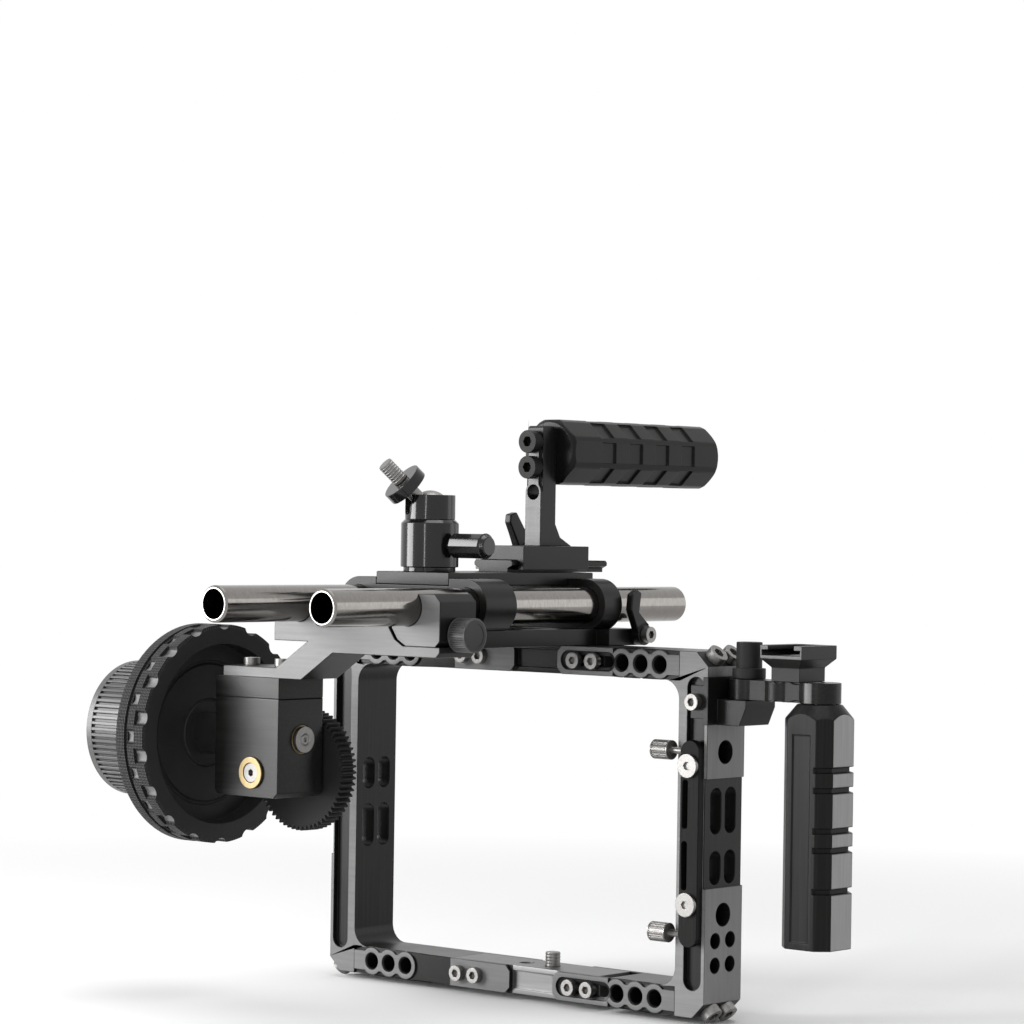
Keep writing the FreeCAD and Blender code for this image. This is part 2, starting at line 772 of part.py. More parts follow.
def focus_bracket():
    left_rod = cylinder("Y", (-rod_x, rod_height), rod_fit_radius, focus_front, focus_bracket_back)
    right_rod = cylinder("Y", (rod_x, rod_height), rod_fit_radius, focus_front, focus_bracket_back)
    outline = [
        (bracket_left, bar_top), (bracket_left, bracket_top - hook_chamfer),
        (bracket_left + hook_chamfer, bracket_top), (-rod_x - saddle_edge, bracket_top),
        (-rod_x, rod_height), (rod_x - saddle_reach, rod_height),
    ]
    outline += [(x - jaw_gap, z) for x, z in jaw_edge()]
    outline += [
        (bracket_right, bar_top), (bracket_right, bar_low + bar_chamfer), (bracket_right - bar_chamfer, bar_low),
        (bracket_left + foot_slope_reach, bar_low), (foot_joint_x, gearbox_top), (foot_left, gearbox_top),
        (foot_left, foot_top), (foot_joint_x - foot_slope_width, foot_top),
        (bracket_left + foot_slope_reach - foot_slope_width, bar_top),
    ]
    shape = prism("Y", outline, focus_front, focus_bracket_back)
    screw_bore = cylinder("X", (thumbscrew_y, thumbscrew_z),
                          thumbscrew_shank_radius + running_clearance, 8.0, bracket_right)
    foot_holes = [screw_hole("Z", place, foot_top, 1, m4, foot_screw_length + tap_allowance) for place in foot_screw_places()]
    keep("focus_bracket", cut(shape, left_rod, right_rod, screw_bore, *foot_holes))
    outline = [
        (bracket_right - jaw_foot_gap, bar_top), (bracket_right, bar_top + jaw_foot_gap),
        (bracket_right, bracket_top - hook_chamfer), (bracket_right - hook_chamfer, bracket_top),
        (rod_x + 2 * saddle_edge, bracket_top), (rod_x, rod_height),
    ]
    jaw = prism("Y", jaw_edge() + outline, focus_front, focus_bracket_back)
    keep("focus_clamp_jaw", cut(jaw, right_rod, screw_bore))
    start = bracket_right + pivot_clearance
    knob = cylinder("X", (thumbscrew_y, thumbscrew_z), thumbscrew_radius, start, start + thumbscrew_length)
    face = cylinder("X", (thumbscrew_y, thumbscrew_z), thumbscrew_radius - 1.6,
                    start + thumbscrew_length - 0.6, start + thumbscrew_length)
    shank = cylinder("X", (thumbscrew_y, thumbscrew_z), thumbscrew_shank_radius, 9.0, start)
    keep("focus_thumbscrew", fuse(cut(knob, face), shank))


def foot_screw_places():
    middle_y = (focus_front + focus_bracket_back) / 2
    return [(x, middle_y) for x in (foot_left + 6, foot_left + 24)]


def gearbox():
    outline = [
        (gearbox_left + gearbox_chamfer, gearbox_low), (gearbox_right - gearbox_chamfer, gearbox_low),
        (gearbox_right, gearbox_low + gearbox_chamfer), (gearbox_right, gearbox_joint),
        (gearbox_left, gearbox_joint), (gearbox_left, gearbox_low + gearbox_chamfer),
    ]
    body = prism("Y", outline, focus_front, gearbox_back)
    tip = train_distance / 2 + train_addendum + 0.5
    cavity = box(drive_axis_x - tip, drive_axis_x + tip, wheel_axis_y - tip, wheel_axis_y + tip,
                 gearbox_low + gearbox_wall, gearbox_joint - 6)
    wheel_bore = cylinder("X", (wheel_axis_y, wheel_axis_z), bush_radius, gearbox_left, gearbox_right)
    drive_bore = cylinder("Y", (drive_axis_x, drive_axis_z), bush_radius, focus_front, gearbox_back)
    screw_holes = []
    for place in cap_screw_places():
        screw_holes.append(screw_hole("Z", place, gearbox_top, 1, m3, cap_screw_length + 2 * tap_allowance))
    foot_holes = [screw_hole("Z", place, foot_top, 1, m4, foot_screw_length + tap_allowance) for place in foot_screw_places()]
    keep("gearbox_body", cut(body, cavity, wheel_bore, drive_bore, *(screw_holes + foot_holes)))
    cap = [
        (gearbox_left, gearbox_joint), (gearbox_right, gearbox_joint),
        (gearbox_right, gearbox_top), (gearbox_left, gearbox_top),
    ]
    cap_seats = [cylinder("Z", place, m3["head"] + screw_clearance, gearbox_top - m3["height"], gearbox_top)
                 for place in cap_screw_places()]
    keep("gearbox_cap", cut(prism("Y", cap, focus_front, gearbox_back),
                            *(screw_holes + foot_holes + cap_seats)))
    box_screws = [screw("Z", place, gearbox_top - m3["height"], 1, m3, cap_screw_length) for place in cap_screw_places()]
    box_screws += [screw("Z", place, foot_top, 1, m4, foot_screw_length) for place in foot_screw_places()]
    keep("gearbox_screws", *box_screws)
    bore = shaft_radius + running_clearance
    wheel_bushes = []
    for start, end in ((gearbox_left, drive_axis_x - tip), (drive_axis_x + tip, gearbox_right)):
        bush = cylinder("X", (wheel_axis_y, wheel_axis_z), bush_radius, start, end)
        wheel_bushes.append(cut(bush, cylinder("X", (wheel_axis_y, wheel_axis_z), bore, start, end)))
    keep("wheel_bushes", *wheel_bushes)
    drive_bushes = []
    for start, end, face in ((focus_front, wheel_axis_y - tip, focus_front - bush_flange),
                             (wheel_axis_y + tip, gearbox_back, None)):
        bush = cylinder("Y", (drive_axis_x, drive_axis_z), bush_radius, start, end)
        if face is not None:
            flange = cylinder("Y", (drive_axis_x, drive_axis_z), bush_flange_radius, face, start)
            bush = fuse(bush, flange)
            start = face
        drive_bushes.append(cut(bush, cylinder("Y", (drive_axis_x, drive_axis_z), bore, start, end)))
    keep("drive_bushes", *drive_bushes)


def cap_screw_places():
    inset = 5.0
    xs = (gearbox_left + inset, gearbox_right - inset)
    return [(xs[0], gearbox_back - 3.4), (xs[1], gearbox_back - 3.4), (xs[1], focus_front + 3.4)]


def gear_outline(teeth, root_radius, tip_radius, root_share, tip_share, turn=0.0):
    pitch = 360.0 / teeth
    points = []
    for tooth in range(teeth):
        middle = turn + tooth * pitch
        for radius, offset in ((root_radius, -root_share), (tip_radius, -tip_share),
                               (tip_radius, tip_share), (root_radius, root_share)):
            angle = math.radians(middle + offset * pitch)
            points.append((radius * math.cos(angle), radius * math.sin(angle)))
    return points


# One helical gear of the crossed pair, built along Z; a gap or a tooth faces +X at its middle
def screw_gear(tooth_first):
    pitch_radius = train_distance / 2
    start_turn = 0.0 if tooth_first else 180.0 / train_teeth
    steps = 4
    wires = []
    for step in range(steps + 1):
        z = train_half_width * (2.0 * step / steps - 1)
        turn = start_turn + math.degrees(z / pitch_radius)
        outline = gear_outline(train_teeth, pitch_radius - train_dedendum, pitch_radius + train_addendum,
                               0.32, 0.12, turn)
        points = [Vector(x, y, z) for x, y in outline]
        wires.append(Part.makePolygon(points + points[:1]))
    gear = Part.makeLoft(wires, True, True)
    return cut(gear, cylinder("Z", (0, 0), shaft_radius, -train_half_width, train_half_width))


def gear_train():
    wheel_gear = screw_gear(True)
    wheel_gear.rotate(Vector(0, 0, 0), Vector(0, 1, 0), 90)
    wheel_gear.translate(Vector(drive_axis_x, wheel_axis_y, wheel_axis_z))
    keep("wheel_screw_gear", wheel_gear)
    drive_gear = screw_gear(False)
    drive_gear.rotate(Vector(0, 0, 0), Vector(1, 0, 0), -90)
    drive_gear.rotate(Vector(0, 0, 0), Vector(0, 1, 0), -90)
    drive_gear.translate(Vector(drive_axis_x, wheel_axis_y, drive_axis_z))
    keep("drive_screw_gear", drive_gear)
    centre = (wheel_axis_y, wheel_axis_z)
    shaft = cylinder("X", centre, shaft_radius, wheel_flange_left, gearbox_right + pivot_clearance)
    end_collar = cylinder("X", centre, bush_radius - 0.5, gearbox_right + pivot_clearance,
                          gearbox_right + pivot_clearance + 1.5)
    keep("wheel_shaft", fuse(shaft, end_collar))
    drive_centre = (drive_axis_x, drive_axis_z)
    keep("drive_shaft", cylinder("Y", drive_centre, shaft_radius, focus_front - bush_flange + 0.4,
                                 drive_gear_back))
    radius = drive_gear_module * drive_gear_teeth / 2
    outline = gear_outline(drive_gear_teeth, radius - 1.25 * drive_gear_module, radius + drive_gear_module,
                           0.36, 0.13)
    outline = [(drive_axis_x + x, drive_axis_z + z) for x, z in outline]
    gear = prism("Y", outline, drive_gear_front, drive_gear_back)
    hub = cylinder("Y", drive_centre, bush_radius + 1.5, gearbox_back + pivot_clearance, drive_gear_front)
    gear = cut(fuse(gear, hub), cylinder("Y", drive_centre, shaft_radius, gearbox_back, drive_gear_back))
    ring = cut(cylinder("Y", drive_centre, radius - 4.5, drive_gear_back - 2, drive_gear_back),
               cylinder("Y", drive_centre, bush_radius + 3, drive_gear_back - 2, drive_gear_back))
    keep("drive_gear", cut(gear, ring))


def focus_wheel():
    centre = (wheel_axis_y, wheel_axis_z)
    wheel = cylinder("X", centre, wheel_radius, wheel_flange_left, wheel_rim_right)
    step = cut(cylinder("X", centre, wheel_radius + 1, wheel_rim_left, wheel_rim_left + 1.2),
               cylinder("X", centre, wheel_radius - 1.0, wheel_rim_left, wheel_rim_left + 1.2))
    dish = cylinder("X", centre, wheel_dish_radius, wheel_rim_left + 2, wheel_rim_right)
    middle_x = (wheel_rim_left + wheel_rim_right) / 2
    notch_axis = wheel_radius + wheel_notch_radius - 2.0
    notches = []
    for start, end, turn in ((wheel_rim_left + 1.2, middle_x, 0.0), (middle_x, wheel_rim_right, 0.5)):
        turn_angle = turn * 360.0 / wheel_notches
        for place in ring_points(centre, notch_axis, wheel_notches, turn_angle):
            notches.append(cylinder("X", place, wheel_notch_radius, start, end))
    wheel = cut(wheel, step, dish, *notches)
    hub = cylinder("X", centre, wheel_hub_radius, wheel_rim_left + 2, gearbox_left - pivot_clearance)
    wheel = fuse(wheel, hub)
    shaft = cylinder("X", centre, shaft_radius, wheel_flange_left, gearbox_left)
    keep("focus_wheel", cut(wheel, shaft))
    knob = cylinder("X", centre, focus_knob_radius, focus_knob_left, wheel_flange_left)
    knob = knob.makeChamfer(2.0, [knob.Edges[index] for index in range(3)
                                  if abs(knob.Edges[index].BoundBox.XMin - focus_knob_left) < 0.01
                                  and knob.Edges[index].BoundBox.XLength < 0.01])
    grooves = []
    for place in ring_points(centre, focus_knob_radius + focus_knob_groove_radius - 1.4, focus_knob_ribs):
        grooves.append(cylinder("X", place, focus_knob_groove_radius, focus_knob_left, wheel_flange_left - 3))
    recess = cylinder("X", centre, focus_knob_radius - 9, focus_knob_left, focus_knob_left + 3)
    keep("focus_knob", cut(knob, recess, *grooves))


def ball_head():
    centre = (0, ball_head_y)
    low = bridge_top
    foot = cylinder("Z", centre, ball_body_radius - 1.2, low, low + ball_washer)
    body = cylinder("Z", centre, ball_body_radius, low + ball_washer, ball_body_top - ball_chamfer)
    shoulder = cone("Z", centre, ball_body_radius, ball_body_radius - ball_chamfer,
                    ball_body_top - ball_chamfer, ball_body_top)
    cup_radius = ball_radius + ball_fit + cup_wall
    cup_low = ball_centre_z - cup_depth
    well = cylinder("Z", centre, cup_radius + ball_fit, cup_low - ball_fit, ball_body_top)
    ball_place = Vector(0, ball_head_y, ball_centre_z)
    hollow = Part.makeSphere(ball_radius + ball_fit, ball_place)
    bore = cylinder("X", (ball_head_y, ball_knob_z), ball_knob_stem + running_clearance, 2.0,
                    ball_body_radius)
    mount_stud = cylinder("Z", centre, stud_thread_radius, bridge_low, low + ball_washer)
    keep("ball_head_body", fuse(cut(fuse(body, shoulder), well, hollow, bore), foot, mount_stud))
    collar = cylinder("Z", centre, collar_radius, ball_body_top, collar_top)
    opening = collar_top - ball_centre_z
    mouth_radius = math.sqrt((ball_radius + ball_fit) ** 2 - opening ** 2)
    notch_z = ball_centre_z + notch_rise
    notch_foot = cylinder("X", (ball_head_y, notch_z), notch_radius, 0, collar_radius)
    notch = box(0, collar_radius, ball_head_y - notch_radius, ball_head_y + notch_radius, notch_z, collar_top)
    collar = cut(
        collar,
        cylinder("Z", centre, mouth_radius + pivot_clearance, ball_body_top, collar_top),
        hollow,
        cylinder("Z", centre, ball_radius + ball_fit, ball_body_top, ball_centre_z),
        fuse(notch_foot, notch),
    )
    keep("ball_head_collar", turned(collar, "Z", centre, stud_azimuth))
    cup_top = ball_body_top - 0.3
    cup = cylinder("Z", centre, cup_radius, cup_low, cup_top)
    keep("ball_cup", cut(cup, hollow))
    ball = Part.makeSphere(ball_radius, ball_place)
    ring_low = ball_centre_z + thumb_ring_low
    ring_high = ring_low + thumb_ring_height
    thread_low = ring_high + 2 * thumb_ring_play
    seat_top = ring_low - thumb_ring_play
    neck = cylinder("Z", centre, stud_neck_radius, ball_centre_z + ball_radius / 2, seat_top)
    seat = cylinder("Z", centre, stud_seat_radius, seat_top - stud_seat_thickness, seat_top)
    relief = cylinder("Z", centre, stud_relief_radius, seat_top, thread_low)
    thread = cylinder("Z", centre, stud_thread_radius, thread_low, ball_centre_z + stud_length)
    ring = cylinder("Z", centre, thumb_ring_radius, ring_low, ring_high)
    ring = cut(ring, cylinder("Z", centre, stud_thread_radius + running_clearance, ring_low, ring_high))
    for shape, name in ((fuse(ball, neck, seat, relief, thread), "ball_stud"), (ring, "ball_thumb_ring")):
        leaning = turned(shape, "Y", (0, ball_centre_z), stud_tilt)
        keep(name, turned(leaning, "Z", centre, stud_azimuth))
    knob_centre = (ball_head_y, ball_knob_z)
    stem = cylinder("X", knob_centre, ball_knob_stem, 3.0, ball_knob_start)
    outline = ring_points(knob_centre, ball_knob_radius, 10)
    knob = prism("X", outline, ball_knob_start, ball_knob_end - 2)
    tip = cone("X", knob_centre, ball_knob_radius * 0.92, ball_knob_radius * 0.72, ball_knob_end - 2,
               ball_knob_end)
    keep("ball_lock_knob", fuse(stem, knob, tip))


def rail_outline(grow):
    low = bridge_top
    top = handle_rail_top + grow
    wide = handle_rail_half_width + grow
    waist = handle_rail_waist + grow
    right = [(waist, low), (waist, low + 1.6 - grow), (wide, low + 2.8 - grow), (wide, top - 0.8),
             (wide - 0.8, top)]
    left = [(-x, z) for x, z in reversed(right)]
    return right + left


def handle_clamp():
    rail_block = prism("Y", rail_outline(0.0), handle_rail_front, handle_rail_back)
    seat = handle_rail_top - m4["height"]
    for y in handle_rail_screw_places():
        rail_block = cut(rail_block, cylinder("Z", (0, y), m4["head"] + screw_clearance, seat, handle_rail_top),
                         screw_hole("Z", (0, y), seat, 1, m4, seat - bridge_top))
    keep("handle_rail", rail_block)
    channel = prism("Y", rail_outline(rail_clearance), clamp_front, clamp_back)
    body = box(-clamp_half_width, clamp_half_width, clamp_front, clamp_back, clamp_hook_low, clamp_top)
    pocket = box(-clamp_half_width, -handle_rail_waist + 1.2, clamp_front, clamp_back,
                 clamp_hook_low, clamp_jaw_top)
    bolt_centre = (clamp_lever_y, clamp_lever_z)
    bolt_hole = cylinder("X", bolt_centre, 1.5 + running_clearance, -clamp_half_width, clamp_half_width - 2)
    jaw = box(-clamp_half_width, -handle_rail_waist + 1.0, clamp_front, clamp_back,
              clamp_hook_low, clamp_jaw_top - 0.2)
    keep("handle_clamp_body", cut(body, pocket, channel, bolt_hole))
    keep("handle_clamp_jaw", cut(jaw, channel, bolt_hole))
    outer = -clamp_half_width - pivot_clearance
    boss = cylinder("X", bolt_centre, 5.0, outer - 5, outer)
    blade = prism("X", [
        (clamp_lever_y - 4.8, clamp_lever_z), (clamp_lever_y - 12.5, clamp_lever_z + 13),
        (clamp_lever_y - 12.0, clamp_lever_z + 16.5), (clamp_lever_y - 8.0, clamp_lever_z + 17.5),
        (clamp_lever_y - 3.0, clamp_lever_z + 11), (clamp_lever_y + 3.6, clamp_lever_z + 3.4),
    ], outer - 4.2, outer - 0.8)
    bolt = cylinder("X", bolt_centre, 1.5, outer - 1, clamp_half_width - 3)
    keep("handle_clamp_lever", fuse(boss, blade, bolt))


def top_handle():
    outline = [
        (riser_front, clamp_top), (riser_front, riser_top - 2), (riser_front + 2, riser_top),
        (riser_back - 2, riser_top), (riser_back, riser_top - 2),
        (riser_back, clamp_top + riser_flare_height),
        (riser_back + riser_flare_reach * 0.3, clamp_top + riser_flare_height * 0.4),
        (riser_back + riser_flare_reach, clamp_top),
    ]
    riser = prism("X", outline, -riser_half_width, riser_half_width)
    pad = box(-riser_neck / 2, riser_neck / 2, riser_front, riser_back, riser_holes_z[0], riser_holes_z[-1])
    for z in riser_holes_z:
        pad = fuse(pad, cylinder("Y", (0, z), riser_half_width, riser_front, riser_back))
    skin = box(-riser_half_width, riser_half_width, riser_front, riser_front + riser_relief,
               riser_holes_z[0], riser_top)
    riser = cut(riser, cut(skin, pad))
    for z in riser_holes_z:
        riser = cut(riser, cylinder("Y", (0, z), quarter_thread_radius, riser_front, riser_back))
    keep("handle_riser", riser)
    sides = ring_points((0, grip_axis_z), grip_radius / math.cos(math.pi / grip_sides), grip_sides,
                        180.0 / grip_sides)
    grip = prism("Y", sides, riser_back, grip_back)
    round_stock = cylinder("Y", (0, grip_axis_z), grip_radius + 0.6, riser_back, grip_back)
    grip = grip.common(round_stock)
    nose = cone("Y", (0, grip_axis_z), grip_radius - 1, grip_radius + 1.5, riser_back,
                riser_back + grip_chamfer)
    tail = cone("Y", (0, grip_axis_z), grip_radius + 1.5, grip_radius - 1, grip_back - grip_chamfer, grip_back)
    middle = cylinder("Y", (0, grip_axis_z), grip_radius + 1.5, riser_back + grip_chamfer,
                      grip_back - grip_chamfer)
    grip = grip.common(fuse(nose, middle, tail))
    pockets = []
    for step in range(grip_pocket_count):
        start = riser_back + grip_collar + step * grip_pocket_pitch + (grip_pocket_pitch - grip_pocket) / 2
        cutter = box(-grip_pocket / 2, grip_pocket / 2, start, start + grip_pocket,
                     grip_axis_z + grip_radius - grip_pocket_depth, grip_axis_z + grip_radius + 1)
        for facet in range(grip_sides):
            pockets.append(turned(cutter, "Y", (0, grip_axis_z), facet * 360.0 / grip_sides))
    bolts = []
    for z in riser_holes_z[1:]:
        pockets.append(cylinder("Y", (0, z), quarter_thread_radius, riser_back, riser_back + 14))
        bolts.append(screw("Y", (0, z), riser_front, -1, quarter_bolt, handle_bolt_length))
    keep("handle_grip", cut(grip, *pockets))
    keep("handle_bolts", *bolts)


def side_handle():
    wall_right = side_pivot_x - arm_tongue_radius - pivot_clearance
    ledge_top = arm_low - arm_play
    gusset = [
        (wall_right, ledge_top), (side_pivot_x + block_ledge_reach, ledge_top),
        (side_pivot_x + block_ledge_reach, ledge_top - block_ledge_lip),
        (side_pivot_x + gusset_foot, side_block_low), (wall_right, side_block_low),
    ]
    block = fuse(
        box(side_block_left, wall_right, side_block_front, side_block_back, side_block_low, side_block_top),
        prism("Y", gusset, -block_ledge_half, block_ledge_half),
        box(side_jaw_left, side_block_left, side_block_front, -half_depth - 0.2, side_jaw_low, side_jaw_high),
    )
    block = block.removeSplitter()
    screw_x = (side_block_left + side_jaw_left) / 2 - 0.6
    clamp_place = (screw_x, (side_jaw_low + side_jaw_high) / 2)
    column_hole = screw_hole("Y", clamp_place, side_block_front, -1, m4, clamp_screw_length)
    pivot = (side_pivot_x, 0)
    knob_bore = cylinder("Z", pivot, 2.5 + running_clearance, side_block_low + 1, side_block_top)
    keep("side_clamp_block", cut(block, column_hole, knob_bore))
    pieces["right_column"] = cut(pieces["right_column"], column_hole)
    bar_screws = pieces["cable_bar_screws"].Solids
    keep("right_frame_screws", *bar_screws, screw("Y", clamp_place, side_block_front, -1, m4, clamp_screw_length))
    del pieces["cable_bar_screws"]
    arm = fuse(
        box(side_pivot_x, grip_axis_x, -arm_half_width, arm_half_width, arm_low, arm_top),
        cylinder("Z", pivot, arm_tongue_radius, arm_low, arm_top),
        cylinder("Z", (grip_axis_x, 0), arm_end_radius, arm_low, arm_top),
        cylinder("Z", ((side_pivot_x + grip_axis_x) / 2, 0), arm_tongue_radius, arm_low, arm_top),
    )
    grip_centre = (grip_axis_x, 0)
    bolt_seat = arm_top - quarter_bolt["height"]
    shoe_centre = (shoe_left + shoe_width / 2, 0)
    shoe_floor = arm_top + shoe_height - shoe_lip - shoe_slot_height
    shoe_seat = shoe_floor - m4["height"]
    arm = cut(
        arm,
        cylinder("Z", pivot, 2.5 + running_clearance, arm_low, arm_top),
        cylinder("Z", grip_centre, quarter_bolt["head"] + screw_clearance, bolt_seat, arm_top),
        screw_hole("Z", grip_centre, bolt_seat, 1, quarter_bolt, 10),
        screw_hole("Z", shoe_centre, shoe_seat, 1, m4, shoe_seat - arm_low - 1),
    )
    for x in (arm_scallop_x, arm_scallop_x + arm_scallop_pitch):
        for z in (arm_low - arm_scallop_radius, arm_top + arm_scallop_radius):
            sink = math.copysign(arm_scallop_depth, arm_low - z)
            arm = cut(arm, cylinder("Y", (x, z + sink), arm_scallop_radius, -arm_tongue_radius, 1 - arm_half_width))
    keep("side_arm", arm)
    grip_bolt = screw("Z", grip_centre, bolt_seat, 1, quarter_bolt, side_grip_bolt_length)
    wheel_low = arm_top + 0.2
    knob = fuse(
        cylinder("Z", pivot, side_wheel_radius, wheel_low, wheel_low + side_wheel_height),
        cylinder("Z", pivot, side_knob_radius, wheel_low + side_wheel_height, side_knob_top),
        cylinder("Z", pivot, 2.5, side_block_low + 2, wheel_low),
    )
    keep("side_arm_knob", knob)
    top = arm_top + shoe_height
    block = [(-shoe_width / 2, top), (-shoe_width / 2, shoe_floor - shoe_cheek),
             (-shoe_foot_width / 2, arm_top + shoe_foot_height), (-shoe_foot_width / 2, arm_top)]
    block += [(-x, z) for x, z in reversed(block)]
    front_view = prism("Y", [(shoe_centre[0] + x, z) for x, z in block], -shoe_half_length, shoe_half_length)
    grow = shoe_half_length - shoe_width / 2
    side = [(x + math.copysign(grow, x), z) for x, z in block]
    side_view = prism("X", side, shoe_centre[0] - shoe_width, shoe_centre[0] + shoe_width)
    slot_half = shoe_slot_width / 2
    mouth_half = shoe_mouth_width / 2
    slot_end = shoe_half_length - shoe_stop
    shoe = cut(
        front_view.common(side_view),
        box(shoe_centre[0] - slot_half, shoe_centre[0] + slot_half, -shoe_half_length, slot_end,
            shoe_floor, shoe_floor + shoe_slot_height),
        box(shoe_centre[0] - mouth_half, shoe_centre[0] + mouth_half, -shoe_half_length, slot_end,
            shoe_floor + shoe_slot_height, top),
        cylinder("Z", shoe_centre, m4["head"] + screw_clearance, shoe_seat, shoe_floor),
        screw_hole("Z", shoe_centre, shoe_seat, 1, m4, shoe_seat - arm_top),
    )
    keep("cold_shoe", shoe)
    shoe_screw = screw("Z", shoe_centre, shoe_seat, 1, m4, shoe_seat - arm_low - 2)
    keep("side_arm_screws", grip_bolt, shoe_screw)
    side_grip(grip_centre, bolt_seat)


def side_grip(grip_centre, bolt_seat):
    half = side_grip_half
    inner = half - side_grip_chamfer
    corners = [(half, -inner), (half, inner), (inner, half), (-inner, half),
               (-half, inner), (-half, -inner), (-inner, -half), (inner, -half)]
    outline = [(grip_axis_x + x, y) for x, y in corners]
    cone_low = grip_gap_z - side_grip_cone
    grip = prism("Z", outline, side_grip_low, grip_gap_z)
    shaper = fuse(
        cylinder("Z", grip_centre, 2 * half, side_grip_low, cone_low),
        cone("Z", grip_centre, half * 1.3, side_grip_neck_radius, cone_low, grip_gap_z),
    )
    grip = grip.common(shaper)
    grooves = []
    for z in side_grip_grooves_z:
        low = z - side_grip_groove / 2
        core = [(grip_axis_x + side_grip_step_depth * x, side_grip_step_depth * y) for x, y in corners]
        slab = box(grip_axis_x + side_grip_step_start, grip_axis_x + 2 * half, -2 * half, 2 * half, low,
                   low + side_grip_groove)
        grooves.append(cut(slab, prism("Z", core, low, low + side_grip_groove)))
    bore = cylinder("Z", grip_centre, quarter_bolt["shank"] + running_clearance,
                    bolt_seat - side_grip_bolt_length - 1, grip_gap_z)
    keep("side_grip", cut(grip, bore, *grooves))


cage_beams()
camera_screw()
columns()
cable_clamp()
rod_mount()
rods()
focus_bracket()
gearbox()
gear_train()
focus_wheel()
ball_head()
handle_clamp()
top_handle()
side_handle()

os.makedirs("parts", exist_ok=True)
for name, shape in pieces.items():
    shape.exportStep("parts/" + name + ".step")
print(len(pieces), "sub-parts written")
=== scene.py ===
import bpy
import json
import math
from mathutils import Matrix, Vector


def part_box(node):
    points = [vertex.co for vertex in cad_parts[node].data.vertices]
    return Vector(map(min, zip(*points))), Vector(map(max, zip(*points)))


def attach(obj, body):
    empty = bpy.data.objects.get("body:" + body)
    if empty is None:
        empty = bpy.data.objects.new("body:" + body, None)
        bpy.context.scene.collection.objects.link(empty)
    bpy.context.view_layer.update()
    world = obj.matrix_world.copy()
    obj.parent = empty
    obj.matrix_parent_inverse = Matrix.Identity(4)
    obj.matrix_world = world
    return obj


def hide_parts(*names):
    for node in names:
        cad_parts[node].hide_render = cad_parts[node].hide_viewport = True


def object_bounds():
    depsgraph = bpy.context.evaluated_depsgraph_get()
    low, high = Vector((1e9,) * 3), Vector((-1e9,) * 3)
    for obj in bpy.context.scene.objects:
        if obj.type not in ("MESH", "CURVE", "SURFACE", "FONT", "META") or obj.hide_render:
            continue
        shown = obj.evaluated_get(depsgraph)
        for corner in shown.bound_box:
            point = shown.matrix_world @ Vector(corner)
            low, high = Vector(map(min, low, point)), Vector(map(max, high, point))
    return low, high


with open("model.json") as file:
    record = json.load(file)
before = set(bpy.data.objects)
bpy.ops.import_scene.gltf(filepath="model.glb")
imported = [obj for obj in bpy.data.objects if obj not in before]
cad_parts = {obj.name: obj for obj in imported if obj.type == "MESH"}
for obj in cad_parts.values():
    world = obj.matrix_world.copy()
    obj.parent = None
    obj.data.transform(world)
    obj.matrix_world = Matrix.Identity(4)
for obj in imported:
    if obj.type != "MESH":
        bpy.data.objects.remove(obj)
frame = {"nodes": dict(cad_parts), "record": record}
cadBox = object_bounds()
nodes = frame["nodes"]
record = frame["record"]
bodyOf = {node: body for body, members in record["behaviour"]["bodies"].items() for node in members}
slotOf = {part["node"]: part["material_slot"] for part in record["subparts"]}
scene = bpy.context.scene
mm = 0.001
print("frame loaded,", len(nodes), "nodes")


class Wire:  # a socket that takes part in sums
    def __init__(self, graph, socket):
        self.graph = graph
        self.socket = socket

    def combine(self, operation, other=0.0, swapped=False):
        first, second = (other, self) if swapped else (self, other)
        return self.graph.add("Math", {"operation": operation}, {0: first, 1: second})

    def __add__(self, other):
        return self.combine("ADD", other)

    def __sub__(self, other):
        return self.combine("SUBTRACT", other)

    def __rsub__(self, other):
        return self.combine("SUBTRACT", other, True)

    def __mul__(self, other):
        return self.combine("MULTIPLY", other)

    __radd__ = __add__
    __rmul__ = __mul__


def feed(spot, value):  # gives a socket a link or a fixed value
    if isinstance(value, Wire):
        value.graph.tree.links.new(value.socket, spot)
    else:
        spot.default_value = value


class Graph:  # a node tree and the one way to add to it
    def __init__(self, tree):
        self.tree = tree

    def add(self, kind, settings=None, sockets=None, output=0):
        made = self.tree.nodes.new("ShaderNode" + kind)
        for key, value in (settings or {}).items():
            setattr(made, key, value)
        for key, value in (sockets or {}).items():
            feed(made.inputs[key], value)
        return Wire(self, made.outputs[output])

    def split(self, vector):  # its three numbers
        parts = self.add("SeparateXYZ", {}, {"Vector": vector})
        return [Wire(self, spot) for spot in parts.socket.node.outputs]

    def seen(self):  # 1 for what the camera, metal and glass see, 0 for light that only fills in
        rays = ("Is Camera Ray", "Is Glossy Ray", "Is Transmission Ray")
        camera, glossy, clear = (self.add("LightPath", output=ray) for ray in rays)
        return (camera + glossy + clear).combine("MINIMUM", 1.0)


